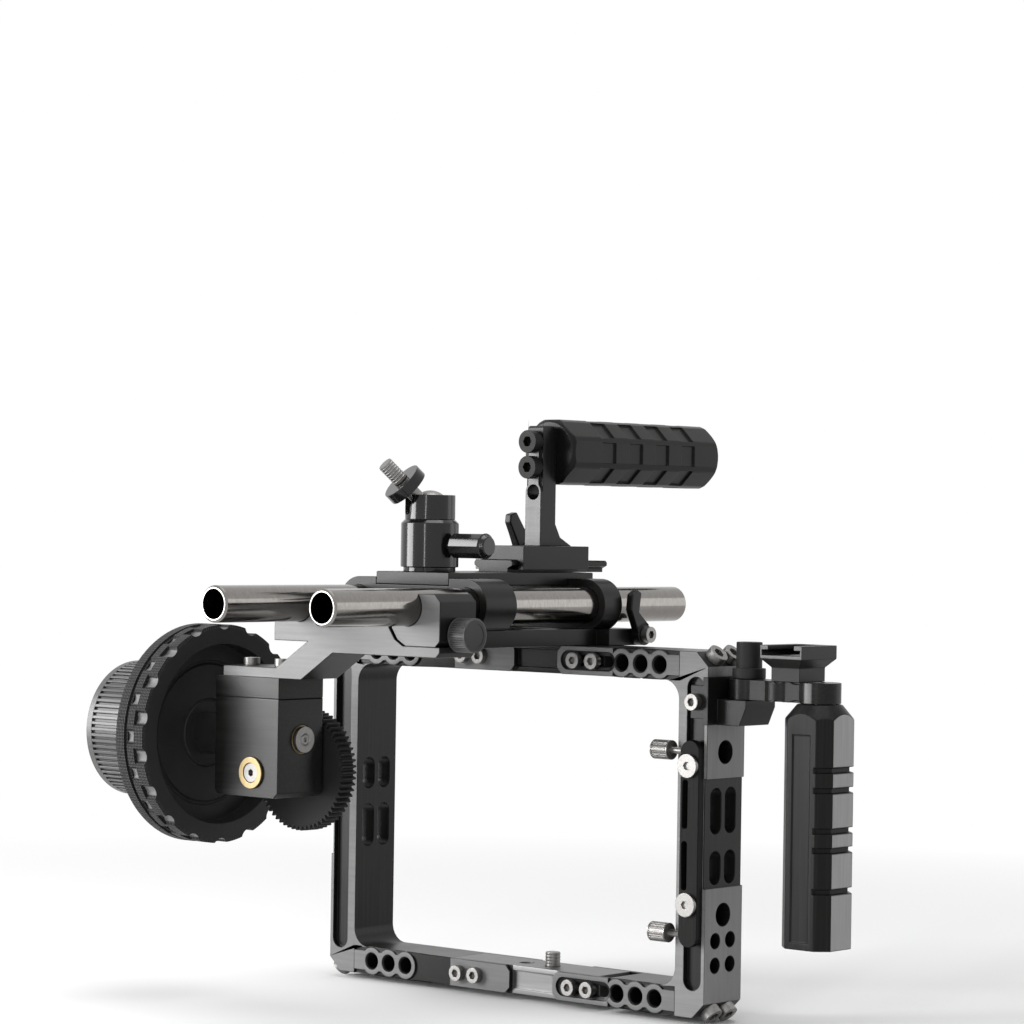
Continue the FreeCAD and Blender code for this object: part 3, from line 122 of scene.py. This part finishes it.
class Finish(Graph):  # a material with its main shader and the few ways to wire it
    def __init__(self, name, fixed):
        self.material = bpy.data.materials.new(name)
        self.material.use_nodes = True
        super().__init__(self.material.node_tree)
        self.shader = self.tree.nodes["Principled BSDF"]
        for key, value in fixed.items():
            self.shader.inputs[key].default_value = value

    def place(self, centre=(0, 0, 0), scale=(1, 1, 1)):
        here = self.add("TexCoord", output="Object")
        shift = tuple(-c * s for c, s in zip(centre, scale))
        return self.add("Mapping", {}, {"Vector": here, "Location": shift, "Scale": scale})

    def noise(self, scale, detail=4.0, stretch=(1, 1, 1), rough=0.55):
        return self.add("TexNoise", {}, {"Vector": self.place(scale=stretch), "Scale": scale,
                                         "Detail": detail, "Roughness": rough})

    def ramp(self, value, low, high):
        return self.add("MapRange", {"clamp": True}, {"Value": value, "From Min": low, "From Max": high})

    def blend(self, factor, first, second):  # 6, 7 and output 2 are the colour sockets
        return self.add("Mix", {"data_type": "RGBA"}, {"Factor": factor, 6: first, 7: second}, 2)

    def facing(self):  # the face's own direction, as three numbers
        return self.split(self.add("NewGeometry", output="True Normal"))

    def finish(self, colour, roughness, height=None, strength=0.0, distance=0.0):
        feed(self.shader.inputs["Base Color"], colour)
        feed(self.shader.inputs["Roughness"], roughness)
        if height is not None:
            bump = self.add("Bump", {}, {"Height": height, "Strength": strength, "Distance": distance})
            feed(self.shader.inputs["Normal"], bump)
        return self.material


def grey(value, warm=0.0):
    return (value + warm, value, value - warm, 1.0)


detailOf = {"grain": 2.0, "lines": 3.0, "haze": 6.0, "wear": 8.0}  # how fine each kind of noise is


anodisedLook = {"dark": 0.004, "light": 0.01, "warmth": 0.0006, "clouds": 38.0, "grain": 5200.0, "shine": 0.2,
                "worn": 0.045, "wornWarmth": 0.002, "wear": 150.0, "wearFrom": 0.66, "wearTo": 0.78,
                "wearShare": 0.35, "rough": 0.33, "spread": 0.14, "grainSpread": 0.1,
                "brushing": 900.0, "brushFrom": 0.45, "brushShare": 0.6, "brushSpread": 0.12, "grainShare": 0.5,
                # the next four set a painted highlight on the outermost front and right faces, and its milling
                # lines
                "milled": 0.125, "milledPale": 1.5, "milling": 700.0, "millStretch": 0.05,
                "faceFrom": 0.00025, "faceFull": 0.0001, "flatFrom": 0.9, "flatFull": 0.98,
                "bump": 0.16, "deep": 0.00006}


def makeAnodised(name, look, brushed=None, litPlanes=()):
    surface = Finish(name, {"Metallic": 0.0, "IOR": 1.5, "Specular IOR Level": look["shine"]})
    cloud = surface.noise(look["clouds"])
    grain = surface.noise(look["grain"], detailOf["grain"])
    scuffs = surface.noise(look["wear"], detailOf["wear"], rough=0.7)
    wear = surface.ramp(scuffs, look["wearFrom"], look["wearTo"])
    tone = surface.blend(cloud, grey(look["dark"]), grey(look["light"], look["warmth"]))
    tone = surface.blend(wear * look["wearShare"], tone, grey(look["worn"], look["wornWarmth"]))
    height = grain
    roughness = look["rough"] + (cloud - 0.5) * look["spread"] + (grain - 0.5) * look["grainSpread"]
    if brushed:
        lines = surface.noise(look["brushing"], detailOf["lines"], brushed)
        height = grain * look["grainShare"] + lines
        tone = surface.blend((lines - look["brushFrom"]) * look["brushShare"], tone, grey(look["worn"]))
        roughness = roughness + (lines - 0.5) * look["brushSpread"]
    here = surface.split(surface.place()) if litPlanes else None
    for axis, level, way in litPlanes:  # faces cut last, painted paler as a painted highlight of the lamps' light, with milling lines in it
        near = surface.ramp(here[axis] * way, level * way - look["faceFrom"], level * way - look["faceFull"])
        flat = surface.ramp(surface.facing()[axis] * way, look["flatFrom"], look["flatFull"])
        stretch = (look["millStretch"], 1.0, 1.0) if axis == 1 else (1.0, 1.0, look["millStretch"])
        cuts = surface.noise(look["milling"], detailOf["lines"], stretch)
        paintedHighlight = surface.blend(cuts, grey(look["milled"]), grey(look["milled"] * look["milledPale"]))
        tone = surface.blend(near * flat, tone, paintedHighlight)
    return surface.finish(tone, roughness, height, look["bump"], look["deep"])


metalLook = {"clouds": 60.0, "smears": 210.0, "smearFrom": 0.55, "smearFull": 0.75, "smearShare": 0.25,
             "smearTone": 0.7, "smearRough": 0.06, "spread": 0.08, "deep": 0.00004}
rodLook = dict(metalLook, low=0.17, high=0.27, warm=0.012, rough=0.15, lines=420.0,
               stretch=(1.0, 3.0, 1.0), bump=0.05)
nickelLook = dict(metalLook, low=0.18, high=0.27, warm=0.006, rough=0.4, lines=900.0,
                  stretch=(1.0, 1.0, 1.0), bump=0.08)
bareLook = dict(metalLook, low=0.13, high=0.2, warm=0.0, rough=0.42, lines=800.0,
                stretch=(0.03, 1.0, 1.0), bump=0.22)


def makeMetal(name, look):
    surface = Finish(name, {"Metallic": 1.0})
    lines = surface.noise(look["lines"], detailOf["lines"], look["stretch"])
    cloud = surface.noise(look["clouds"])
    smears = surface.noise(look["smears"], detailOf["wear"], rough=0.7)
    smear = surface.ramp(smears, look["smearFrom"], look["smearFull"])
    tone = surface.blend(lines, grey(look["low"], look["warm"]), grey(look["high"], look["warm"]))
    smudged = grey(look["low"] * look["smearTone"], look["warm"])
    tone = surface.blend(smear * look["smearShare"], tone, smudged)
    roughness = look["rough"] + (cloud - 0.5) * look["spread"] + smear * look["smearRough"]
    return surface.finish(tone, roughness, lines, look["bump"], look["deep"])


brassLook = {"low": (0.2, 0.15, 0.075, 1), "high": (0.32, 0.25, 0.14, 1), "rough": 0.34, "spread": 0.1,
             "lines": 700.0, "bump": 0.15, "deep": 0.00005}


def makeBrass(name, look):
    surface = Finish(name, {"Metallic": 1.0})
    lines = surface.noise(look["lines"], detailOf["lines"])
    tone = surface.blend(lines, look["low"], look["high"])
    return surface.finish(tone, look["rough"] + lines * look["spread"], lines, look["bump"], look["deep"])


glossLook = {"dark": 0.008, "speck": 0.06, "shine": 0.24, "coat": 0.22, "coatRough": 0.05, "rough": 0.1,
             "spread": 0.1, "haze": 90.0, "specks": 1500.0, "speckFrom": 0.74, "speckFull": 0.8,
             "speckShare": 0.3, "bump": 0.03, "deep": 0.0001}


def makeGloss(name, look):
    surface = Finish(name, {"Metallic": 0.0, "IOR": 1.55, "Specular IOR Level": look["shine"],
                            "Coat Weight": look["coat"], "Coat Roughness": look["coatRough"]})
    haze = surface.noise(look["haze"], detailOf["haze"])
    specks = surface.ramp(surface.noise(look["specks"], detailOf["grain"]), look["speckFrom"], look["speckFull"])
    tone = surface.blend(specks * look["speckShare"], grey(look["dark"]), grey(look["speck"]))
    return surface.finish(tone, look["rough"] + haze * look["spread"], haze, look["bump"], look["deep"])


matteLook = {"dark": 0.01, "light": 0.02, "shine": 0.22, "clouds": 45.0, "grain": 3600.0, "spread": 0.12,
             "rough": 0.5, "bump": 0.2, "deep": 0.00008}
# the knurl's crests and the scalloped rim's outward faces get a painted highlight
knurlLook = {"count": 220, "lean": 3400.0, "from": 0.0448, "fade": 0.0004, "pale": 0.1, "paleShare": 0.7,
             "ridgeFrom": 0.1, "ridgeFull": 0.9, "scallopFrom": 0.041, "scallopFull": 0.0415,
             "outwardFrom": 0.3, "outwardFull": 0.6, "scallopPale": 0.16, "grainShare": 0.3,
             "rough": 0.45, "bump": 0.9, "deep": 0.0004}


def matteBase(name, look):
    surface = Finish(name, {"Metallic": 0.0, "IOR": 1.5, "Specular IOR Level": look["shine"]})
    cloud = surface.noise(look["clouds"])
    grain = surface.noise(look["grain"], detailOf["grain"])
    return surface, cloud, grain, surface.blend(cloud, grey(look["dark"]), grey(look["light"]))


def makeMatte(name, look):
    surface, cloud, grain, tone = matteBase(name, look)
    return surface.finish(tone, look["rough"] + cloud * look["spread"], grain, look["bump"], look["deep"])


def makeKnurled(name, base, look, centre):  # crossed ridges that run round the wheel's rim, with a painted highlight on their crests and on the scalloped rim's outward faces
    surface, cloud, grain, tone = matteBase(name, base)
    across, y, z = surface.split(surface.place(centre))
    turn = y.combine("ARCTAN2", z) * (look["count"] / 2.0)
    lean = across * look["lean"]
    ridge = (turn + lean).combine("SINE") * (turn - lean).combine("SINE")
    far = (y * y + z * z).combine("SQRT")
    rim = surface.ramp(far, look["from"], look["from"] + look["fade"])
    # painted highlight on the knurl's crests
    litCrest = surface.ramp(ridge, look["ridgeFrom"], look["ridgeFull"])
    tone = surface.blend(litCrest * rim * look["paleShare"], tone, grey(look["pale"]))
    # painted highlight on the outward faces of the scalloped rim
    sideways = surface.facing()[0]
    outward = surface.ramp(1.0 - sideways * sideways, look["outwardFrom"], look["outwardFull"])
    litScallop = surface.ramp(far, look["scallopFrom"], look["scallopFull"]) * (1.0 - rim) * outward
    tone = surface.blend(litScallop, tone, grey(look["scallopPale"]))
    height = ridge * rim + grain * look["grainShare"]
    return surface.finish(tone, look["rough"] + cloud * base["spread"], height, look["bump"], look["deep"])


# painted shade in the grooves and a painted highlight on the rib tops
ribLook = {"groove": 0.006, "top": 0.045, "topPale": 0.085, "fadeFrom": 0.0009, "fadeTo": 0.0004,
           "lines": 900.0, "stretch": (0.03, 1.0, 1.0), "rough": 0.34, "spread": 0.12, "bump": 0.2,
           "deep": 0.00006}


def makeRibbed(name, look, centre, outer):  # a painted highlight on the rib tops over painted shade in the grooves
    surface = Finish(name, {"Metallic": 0.0, "IOR": 1.5})
    y, z = surface.split(surface.place(centre))[1:]
    far = (y * y + z * z).combine("SQRT")
    # the rib tops get a painted highlight, the grooves painted shade
    top = surface.ramp(far, outer - look["fadeFrom"], outer - look["fadeTo"])
    lines = surface.noise(look["lines"], detailOf["lines"], look["stretch"])
    paintedHighlight = surface.blend(lines, grey(look["top"]), grey(look["topPale"]))
    tone = surface.blend(top, grey(look["groove"]), paintedHighlight)
    return surface.finish(tone, look["rough"] + lines * look["spread"], lines, look["bump"], look["deep"])


wheelAxis = [(low + high) / 2 for low, high in zip(*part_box("wheel_shaft"))]
anodised = makeAnodised("blackAnodised", anodisedLook)
darkBolts = makeAnodised("blackenedSteel", dict(anodisedLook, rough=0.4, shine=0.1))
glossBlack = makeGloss("glossBlack", glossLook)
matteBlack = makeMatte("matteBlack", matteLook)
nickel = makeMetal("nickelPlate", nickelLook)
knurledBlack = makeKnurled("knurledBlack", matteLook, knurlLook, (0, wheelAxis[1], wheelAxis[2]))
finishOf = {"black_anodised": anodised, "bare_aluminium": makeMetal("bareAluminium", bareLook),
            "polished_rod": makeMetal("polishedRod", rodLook), "nickel": nickel,
            "brass": makeBrass("turnedBrass", brassLook), "gloss_black": glossBlack,
            "matte_black": matteBlack}
print("finishes made")


def pick(piece):
    bpy.ops.object.select_all(action="DESELECT")
    piece.select_set(True)
    bpy.context.view_layer.objects.active = piece


def leave():
    bpy.ops.object.mode_set(mode="OBJECT")


def edit(piece, choose=None):  # opens a piece with all its faces selected, or only the chosen ones
    pick(piece)
    bpy.ops.object.mode_set(mode="EDIT")
    bpy.ops.mesh.select_mode(type="FACE")
    bpy.ops.mesh.select_all(action="DESELECT" if choose else "SELECT")
    if choose:
        leave()
        for face in piece.data.polygons:
            face.select = choose(face)
        bpy.ops.object.mode_set(mode="EDIT")


def apply(piece, kind, settings):
    pick(piece)
    made = piece.modifiers.new(kind.lower(), kind)
    for key, value in settings.items():
        setattr(made, key, value)
    bpy.ops.object.modifier_apply(modifier=made.name)


def settled():  # the object just made, with its place put into its mesh
    piece = bpy.context.active_object
    pick(piece)
    bpy.ops.object.transform_apply(location=True, rotation=True, scale=True)
    return piece


def camelName(node):
    words = node.split("_")
    return words[0] + "".join(word.capitalize() for word in words[1:])


def between(node):  # a node's box in millimetres
    low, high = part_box(node)
    return [v / mm for v in low], [v / mm for v in high]


def middleOf(low, high):
    return [(a + b) / 2 for a, b in zip(low, high)]


# the weld is in metres, the angles are in degrees
meshLook = {"weld": 0.000002, "flat": 0.6, "bevelSteps": 2, "bevelFrom": 32.0, "smoothTo": 28.0,
            "weight": 80, "ribBevelFrom": 40.0}


def copied(node, joinFlat):
    piece = bpy.data.objects.new(camelName(node), nodes[node].data.copy())
    scene.collection.objects.link(piece)
    edit(piece)
    bpy.ops.mesh.remove_doubles(threshold=meshLook["weld"])
    if joinFlat:
        bpy.ops.mesh.dissolve_limited(angle_limit=math.radians(meshLook["flat"]))
    leave()
    return piece


def give(piece, name, material, node):  # its name, material, smooth shading and body
    piece.name = name
    piece.data.name = name
    piece.data.materials.clear()
    piece.data.materials.append(material)
    pick(piece)
    bpy.ops.object.shade_smooth_by_angle(angle=math.radians(meshLook["smoothTo"]))
    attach(piece, bodyOf[node])


def dress(node, material, edge, cutters=(), shape=None, joinFlat=True):  # edge in millimetres
    piece = copied(node, joinFlat)
    if shape:
        shape(piece)
    for cutter in cutters:
        apply(piece, "BOOLEAN", {"operation": "DIFFERENCE", "solver": "EXACT", "object": cutter})
        bpy.data.objects.remove(cutter)
    if edge:
        apply(piece, "BEVEL", {"width": edge * mm, "segments": meshLook["bevelSteps"],
                               "limit_method": "ANGLE", "use_clamp_overlap": False,
                               "angle_limit": math.radians(meshLook["bevelFrom"])})
    give(piece, camelName(node), material, node)
    apply(piece, "WEIGHTED_NORMAL", {"keep_sharp": True, "weight": meshLook["weight"]})
    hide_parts(node)


def ringCutter(centre, major, minor):  # all the cutters' measures are in millimetres
    bpy.ops.mesh.primitive_torus_add(major_radius=major * mm, minor_radius=minor * mm, major_segments=120,
                                     minor_segments=8, location=[c * mm for c in centre],
                                     rotation=(0, math.pi / 2, 0))
    return settled()


def rodCutter(axis, centre, radius, length, sides):
    turn = {"X": (0, math.pi / 2, 0), "Y": (math.pi / 2, 0, 0)}[axis]
    bpy.ops.mesh.primitive_cylinder_add(vertices=sides, radius=radius * mm, depth=length * mm,
                                        location=[c * mm for c in centre], rotation=turn)
    return settled()


gripLook = {"stripInset": 2.6, "stripWide": 8.4, "stripFoot": 3.0, "stripHead": 12.0, "stripDeep": 0.5,
            "chamfer": 5.0}


def stripCutter(low, high):  # the long shallow strip on the side grip's front face
    left = low[0] + gripLook["chamfer"] + gripLook["stripInset"]
    foot, head = low[2] + gripLook["stripFoot"], high[2] - gripLook["stripHead"]
    centre = ((left + gripLook["stripWide"] / 2) * mm, low[1] * mm, (foot + head) / 2 * mm)
    size = (gripLook["stripWide"] * mm, 2 * gripLook["stripDeep"] * mm, (head - foot) * mm)
    bpy.ops.mesh.primitive_cube_add(size=1.0, location=centre, scale=size)
    return settled()


shaftLook = {"ringRadius": 2.3, "ringDeep": 0.22, "pitRadius": 0.9, "pitLong": 1.4, "pitSides": 24,
             "keyRadius": 1.5, "keyLong": 5.0, "keySides": 6}


def cutIn(node):  # the ring and pit in one shaft's end, the key hole in the other's, the grip's strip
    low, high = between(node)
    middle = middleOf(low, high)
    look = shaftLook
    if node == "wheel_shaft":
        end = (high[0], middle[1], middle[2])
        return [ringCutter(end, look["ringRadius"], look["ringDeep"]),
                rodCutter("X", end, look["pitRadius"], look["pitLong"], look["pitSides"])]
    if node == "drive_shaft":
        end = (middle[0], low[1], middle[2])
        return [rodCutter("Y", end, look["keyRadius"], look["keyLong"], look["keySides"])]
    if node == "side_grip":
        return [stripCutter(low, high)]
    return []


# the carried pieces, with their machined edges broken
brackets = ("top_left_bracket", "top_right_bracket", "bottom_left_bracket", "bottom_right_bracket")
keepTriangles = ("bottom_rail",) + brackets
upright = ("left_column", "right_column", "side_grip", "cable_clamp_bar", "handle_riser")
lengthwise = ("side_arm", "gearbox_body", "gearbox_cap", "focus_bracket")
brushedWays = {**{node: (1.0, 1.0, 0.02) for node in upright},
               **{node: (0.02, 1.0, 1.0) for node in lengthwise}}
front, rightSide = (1, -1), (0, 1)  # an axis and the way along it
# pieces whose outermost front face gets a painted highlight; some also get one on their right face
frontHighlighted = ("focus_bracket", "focus_clamp_jaw", "handle_riser", "side_arm", "left_column",
               "handle_clamp_jaw", "cold_shoe") + brackets
highlightFacesOf = {**{node: (front,) for node in frontHighlighted},
            "right_column": (front, rightSide), "side_grip": (rightSide,)}
# some pieces have their own painted-highlight strength, shine or roughness
ownLook = {"side_grip": {"milled": 0.26, "shine": 0.13}, "right_column": {"milled": 0.17},
           "cable_clamp_bar": {"shine": 0.08, "rough": 0.45}, "gearbox_body": {"shine": 0.26},
           "gearbox_cap": {"shine": 0.26}, "handle_grip": {"shine": 0.16, "light": 0.007},
           "focus_bracket": {"milled": 0.13}, "focus_clamp_jaw": {"milled": 0.13}}
usualEdge, nickelEdge = 0.25, 0.18  # millimetres
edgeOf = {"handle_grip": 0.45, "side_grip": 0.4, "gearbox_body": 0.4, "gearbox_cap": 0.35,
          "rod_lock_lever": 0.5, "handle_clamp_lever": 0.6, "focus_bracket": 0.3, "focus_clamp_jaw": 0.3,
          "rod_bridge": 0.5, "rod_base_plate": 0.35, "ball_head_body": 0.3, "ball_head_collar": 0.3,
          "ball_stud": 0.2, "drive_gear": 0.12, "wheel_screw_gear": 0.0, "drive_screw_gear": 0.0,
          "ball_cup": 0.0, "left_rod": 0.15, "right_rod": 0.15}
madeBelow = ("focus_knob", "focus_thumbscrew", "ball_thumb_ring", "focus_wheel", "lower_cable_thumbscrew",
             "upper_cable_thumbscrew", "ball_lock_knob", "side_arm_knob")


def anodisedFor(node):
    litPlanes = []
    for axis, way in highlightFacesOf.get(node, ()):
        litPlanes.append((axis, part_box(node)[1 if way > 0 else 0][axis], way))
    brushed = brushedWays.get(node)
    if not litPlanes and not brushed and node not in ownLook:
        return anodised
    look = dict(anodisedLook, **ownLook.get(node, {}))
    return makeAnodised(camelName(node) + "Finish", look, brushed, litPlanes)


for node in sorted(nodes):
    if node in madeBelow:
        continue
    material = anodisedFor(node) if slotOf[node] == "black_anodised" else finishOf[slotOf[node]]
    if node == "handle_bolts":
        material = darkBolts
    edge = edgeOf.get(node, nickelEdge if slotOf[node] == "nickel" else usualEdge)
    dress(node, material, edge, cutIn(node), joinFlat=node not in keepTriangles)
print("carried pieces dressed")

# focus handwheel: skirt, two knurled rows with scallops, dish with its two grooves
wheelLook = {"dishFloor": -97.3, "edge": 0.3, "outerRadius": 30.0, "outerWide": 1.0,
             "innerRadius": 14.0, "innerWide": 0.6}
dishCentre = (wheelLook["dishFloor"], wheelAxis[1] / mm, wheelAxis[2] / mm)
grooves = [ringCutter(dishCentre, wheelLook["outerRadius"], wheelLook["outerWide"]),
           ringCutter(dishCentre, wheelLook["innerRadius"], wheelLook["innerWide"])]
# its finish paints a highlight on the knurl's crests and on the scalloped rim's outward faces
dress("focus_wheel", knurledBlack, wheelLook["edge"], grooves)


def ribbedBarrel(length, centre, radius, look, way):  # way 1 or -1: where its outer end points along x
    long = length * mm
    low, high = -long / 2 + look["plainRoot"] * mm, long / 2 - look["plainEnd"] * mm
    bpy.ops.mesh.primitive_cylinder_add(vertices=look["ribs"] * 2, radius=(radius - look["depth"]) * mm,
                                        depth=long, end_fill_type="NGON")
    barrel = bpy.context.active_object
    for height in (low, high):
        edit(barrel)
        bpy.ops.mesh.bisect(plane_co=(0, 0, height), plane_no=(0, 0, 1))
        leave()

    def isSide(face):
        return abs(face.normal.z) < 0.5

    def isRib(face):  # every other strip between the plain bands
        turned = math.atan2(face.center.y, face.center.x) / (math.pi / look["ribs"])
        return isSide(face) and low < face.center.z < high and round(turned - 0.5) % 2 == 0

    def isBand(face):
        return isSide(face) and not low < face.center.z < high

    def isOuterEnd(face):  # the cap, the only end face with so many corners
        return not isSide(face) and face.center.z > high and len(face.vertices) > look["ribs"]

    for raised in (isRib, isBand):
        edit(barrel, raised)
        bpy.ops.mesh.extrude_region_shrink_fatten(TRANSFORM_OT_shrink_fatten={"value": look["depth"] * mm})
        leave()
    if look["dish"]:
        edit(barrel, isOuterEnd)
        bpy.ops.mesh.inset(thickness=look["dish"] * mm, depth=0)
        bpy.ops.mesh.inset(thickness=look["dishSlope"] * mm, depth=-look["dishDepth"] * mm)
        leave()
    apply(barrel, "BEVEL", {"width": look["edge"] * mm, "segments": 1, "limit_method": "ANGLE",
                            "angle_limit": math.radians(meshLook["ribBevelFrom"]),
                            "use_clamp_overlap": True})
    barrel.rotation_euler = (0, way * math.pi / 2, 0)
    barrel.location = [c * mm for c in centre]
    return settled()


# knob beside the wheel: fine straight ribs between two plain bands
knobLook = {"ribs": 72, "depth": 1.1, "plainEnd": 3.2, "plainRoot": 2.6, "edge": 0.108,
            "dish": 9.0, "dishSlope": 0.6, "dishDepth": 2.6}
low, high = between("focus_knob")
outer = (high[2] - low[2]) / 2
knob = ribbedBarrel(high[0] - low[0], middleOf(low, high), outer, knobLook, -1)
# its finish paints a highlight on the rib tops and shade in the grooves
knobFinish = makeRibbed("ribbedKnob", ribLook, (0, wheelAxis[1], wheelAxis[2]), outer * mm)
give(knob, "focusKnob", knobFinish, "focus_knob")
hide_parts("focus_knob")
print("focus wheel and knob made")

# screws with a ribbed head: the whole screw is drawn in a little and a ribbed barrel goes round its head
headLook = {"depth": 0.45, "plainEnd": 0.5, "plainRoot": 0.5, "edge": 0.072, "dish": 0.0,
            "rim": 0.5, "drawnIn": 0.6, "inset": 0.15}
headRibs = {"focus_thumbscrew": 44, "lower_cable_thumbscrew": 30, "upper_cable_thumbscrew": 30}


def drawIn(piece, share, cy, cz):
    edit(piece)
    bpy.ops.transform.resize(value=(1, share, share), center_override=(0, cy * mm, cz * mm))
    leave()


for node, ribs in headRibs.items():
    low, high = between(node)
    cy, cz = middleOf(low, high)[1:]
    outer = (high[2] - low[2]) / 2
    share = (outer - headLook["drawnIn"]) / outer
    spots = [(v.co.x / mm, math.hypot(v.co.y / mm - cy, v.co.z / mm - cz)) for v in nodes[node].data.vertices]
    onRim = [x for x, far in spots if far > outer - headLook["rim"]]
    start, end = min(onRim), max(onRim)
    # this finish paints a highlight on the rib tops and shade in the grooves
    plain = makeRibbed(camelName(node) + "Finish", ribLook, (0, cy * mm, cz * mm), outer * mm)
    material = nickel if slotOf[node] == "nickel" else plain
    dress(node, material, 0.0, shape=lambda piece: drawIn(piece, share, cy, cz))
    length = (end - headLook["inset"]) - (start + headLook["inset"])
    barrel = ribbedBarrel(length, ((start + end) / 2, cy, cz), outer, dict(headLook, ribs=ribs), 1)
    give(barrel, camelName(node) + "Ribs", material, node)

for node, material, edge in (("ball_thumb_ring", glossBlack, 0.3), ("ball_lock_knob", glossBlack, 0.4),
                             ("side_arm_knob", matteBlack, 0.3)):
    dress(node, material, edge)
print("screw heads made")

# screw threads: one ridge for each turn
threadLook = {"pitch": 1.27, "ridge": 0.3, "radius": 2.98,
              "ballAt": (0.0, -66.0, 204.6), "studWay": (-0.3206, -0.6574, 0.682), "studFrom": 19.4,
              "studTurns": 7, "screwFrom": 0.8, "screwTurns": 4}


def threadRidges(name, node, start, way, turns):
    made = []
    for number in range(turns):
        spot = [s + w * threadLook["pitch"] * number for s, w in zip(start, way)]
        bpy.ops.mesh.primitive_torus_add(
            major_radius=threadLook["radius"] * mm, minor_radius=threadLook["ridge"] * mm,
            major_segments=36, minor_segments=6, location=[c * mm for c in spot],
            rotation=Vector(way).to_track_quat("Z", "Y").to_euler())
        made.append(bpy.context.active_object)
    for ridge in made:
        ridge.select_set(True)
    bpy.ops.object.join()
    give(settled(), name, nickel, node)


studWay = threadLook["studWay"]
studStart = [b + w * threadLook["studFrom"] for b, w in zip(threadLook["ballAt"], studWay)]
threadRidges("studThread", "ball_stud", studStart, studWay, threadLook["studTurns"])
low, high = between("camera_screw")
x, y = middleOf(low, high)[:2]
threadRidges("cameraThread", "camera_screw", (x, y, high[2] - threadLook["screwFrom"]), (0, 0, -1),
             threadLook["screwTurns"])
print("threads made")

# the floor turns into plain white light with distance, so that it has no edge
floorLook = {"size": 12.0, "tone": 0.92, "rough": 0.75, "spread": 0.1, "clouds": 4.0, "shine": 0.1,
             "gap": 0.0002, "clearFrom": 0.3, "clearTo": 0.75}
bpy.ops.mesh.primitive_plane_add(size=floorLook["size"], location=(0, 0, cadBox[0][2] - floorLook["gap"]))
floor = settled()
floor.name = "floor"
surface = Finish("paleFloor", {"Specular IOR Level": floorLook["shine"]})
cloud = surface.noise(floorLook["clouds"])
surface.finish(grey(floorLook["tone"]), floorLook["rough"] + cloud * floorLook["spread"])
glow = surface.add("Emission", {}, {"Color": (1, 1, 1, 1), "Strength": 1.0})
x, y = surface.split(surface.place())[:2]
away = surface.ramp((x * x + y * y).combine("SQRT"), floorLook["clearFrom"], floorLook["clearTo"])
plain = Wire(surface, surface.shader.outputs[0])
mixed = surface.add("MixShader", {}, {0: away * surface.seen(), 1: plain, 2: glow})
feed(surface.tree.nodes["Material Output"].inputs["Surface"], mixed)
floor.data.materials.append(surface.material)

worldLook = {"seen": 1.0, "fill": 0.36}
world = bpy.data.worlds.new("studio")
scene.world = world
world.use_nodes = True
world.node_tree.nodes.clear()
sky = Graph(world.node_tree)
strength = sky.seen() * (worldLook["seen"] - worldLook["fill"]) + worldLook["fill"]
back = sky.add("Background", {}, {"Color": (1, 1, 1, 1), "Strength": strength})
feed(sky.tree.nodes.new("ShaderNodeOutputWorld").inputs["Surface"], back)

lampLook = {  # places in metres: the front and right faces mirror the first two
    "frontLeft": {"at": (-0.75, -0.86, 0.37), "size": (0.6, 0.72), "power": 19.0},
    "rightBack": {"at": (0.78, 0.9, 0.35), "size": (0.45, 0.66), "power": 0.9},
    "overhead": {"at": (0.1, 0.1, 1.5), "size": (0.9, 0.9), "power": 9.0},
    "strip": {"at": (0.5, -1.3, 0.45), "size": (0.06, 0.8), "power": 2.2},
}
lampTarget = Vector((0.02, -0.02, 0.12))
for name, look in lampLook.items():
    data = bpy.data.lights.new(name, "AREA")
    data.shape = "RECTANGLE"
    data.size, data.size_y = look["size"]
    data.energy = look["power"]
    lamp = bpy.data.objects.new(name, data)
    scene.collection.objects.link(lamp)
    lamp.location = look["at"]
    lamp.visible_camera = False
    lamp.rotation_euler = (lampTarget - lamp.location).to_track_quat("-Z", "Y").to_euler()

cameraLook = {"at": (0.9335, -1.0926, 0.1991), "ahead": (-0.6545, 0.756, 0.004), "roll": 0.0154,
              "lens": 117.88, "sensor": 36.0, "clip": 0.02}
ahead = Vector(cameraLook["ahead"]).normalized()
right = ahead.cross(Vector((0, 0, 1))).normalized()
above = right.cross(ahead)
roll = cameraLook["roll"]
right, above = (right + roll * above).normalized(), (above - roll * right).normalized()
cameraData = bpy.data.cameras.new("camera")
cameraData.lens = cameraLook["lens"]
cameraData.sensor_width = cameraLook["sensor"]
cameraData.clip_start = cameraLook["clip"]
camera = bpy.data.objects.new("camera", cameraData)
scene.collection.objects.link(camera)
camera.matrix_world = Matrix((
    (right.x, above.x, -ahead.x, cameraLook["at"][0]),
    (right.y, above.y, -ahead.y, cameraLook["at"][1]),
    (right.z, above.z, -ahead.z, cameraLook["at"][2]),
    (0, 0, 0, 1),
))
scene.camera = camera
scene.view_settings.view_transform = "Standard"
print("stage, lamps and camera set")
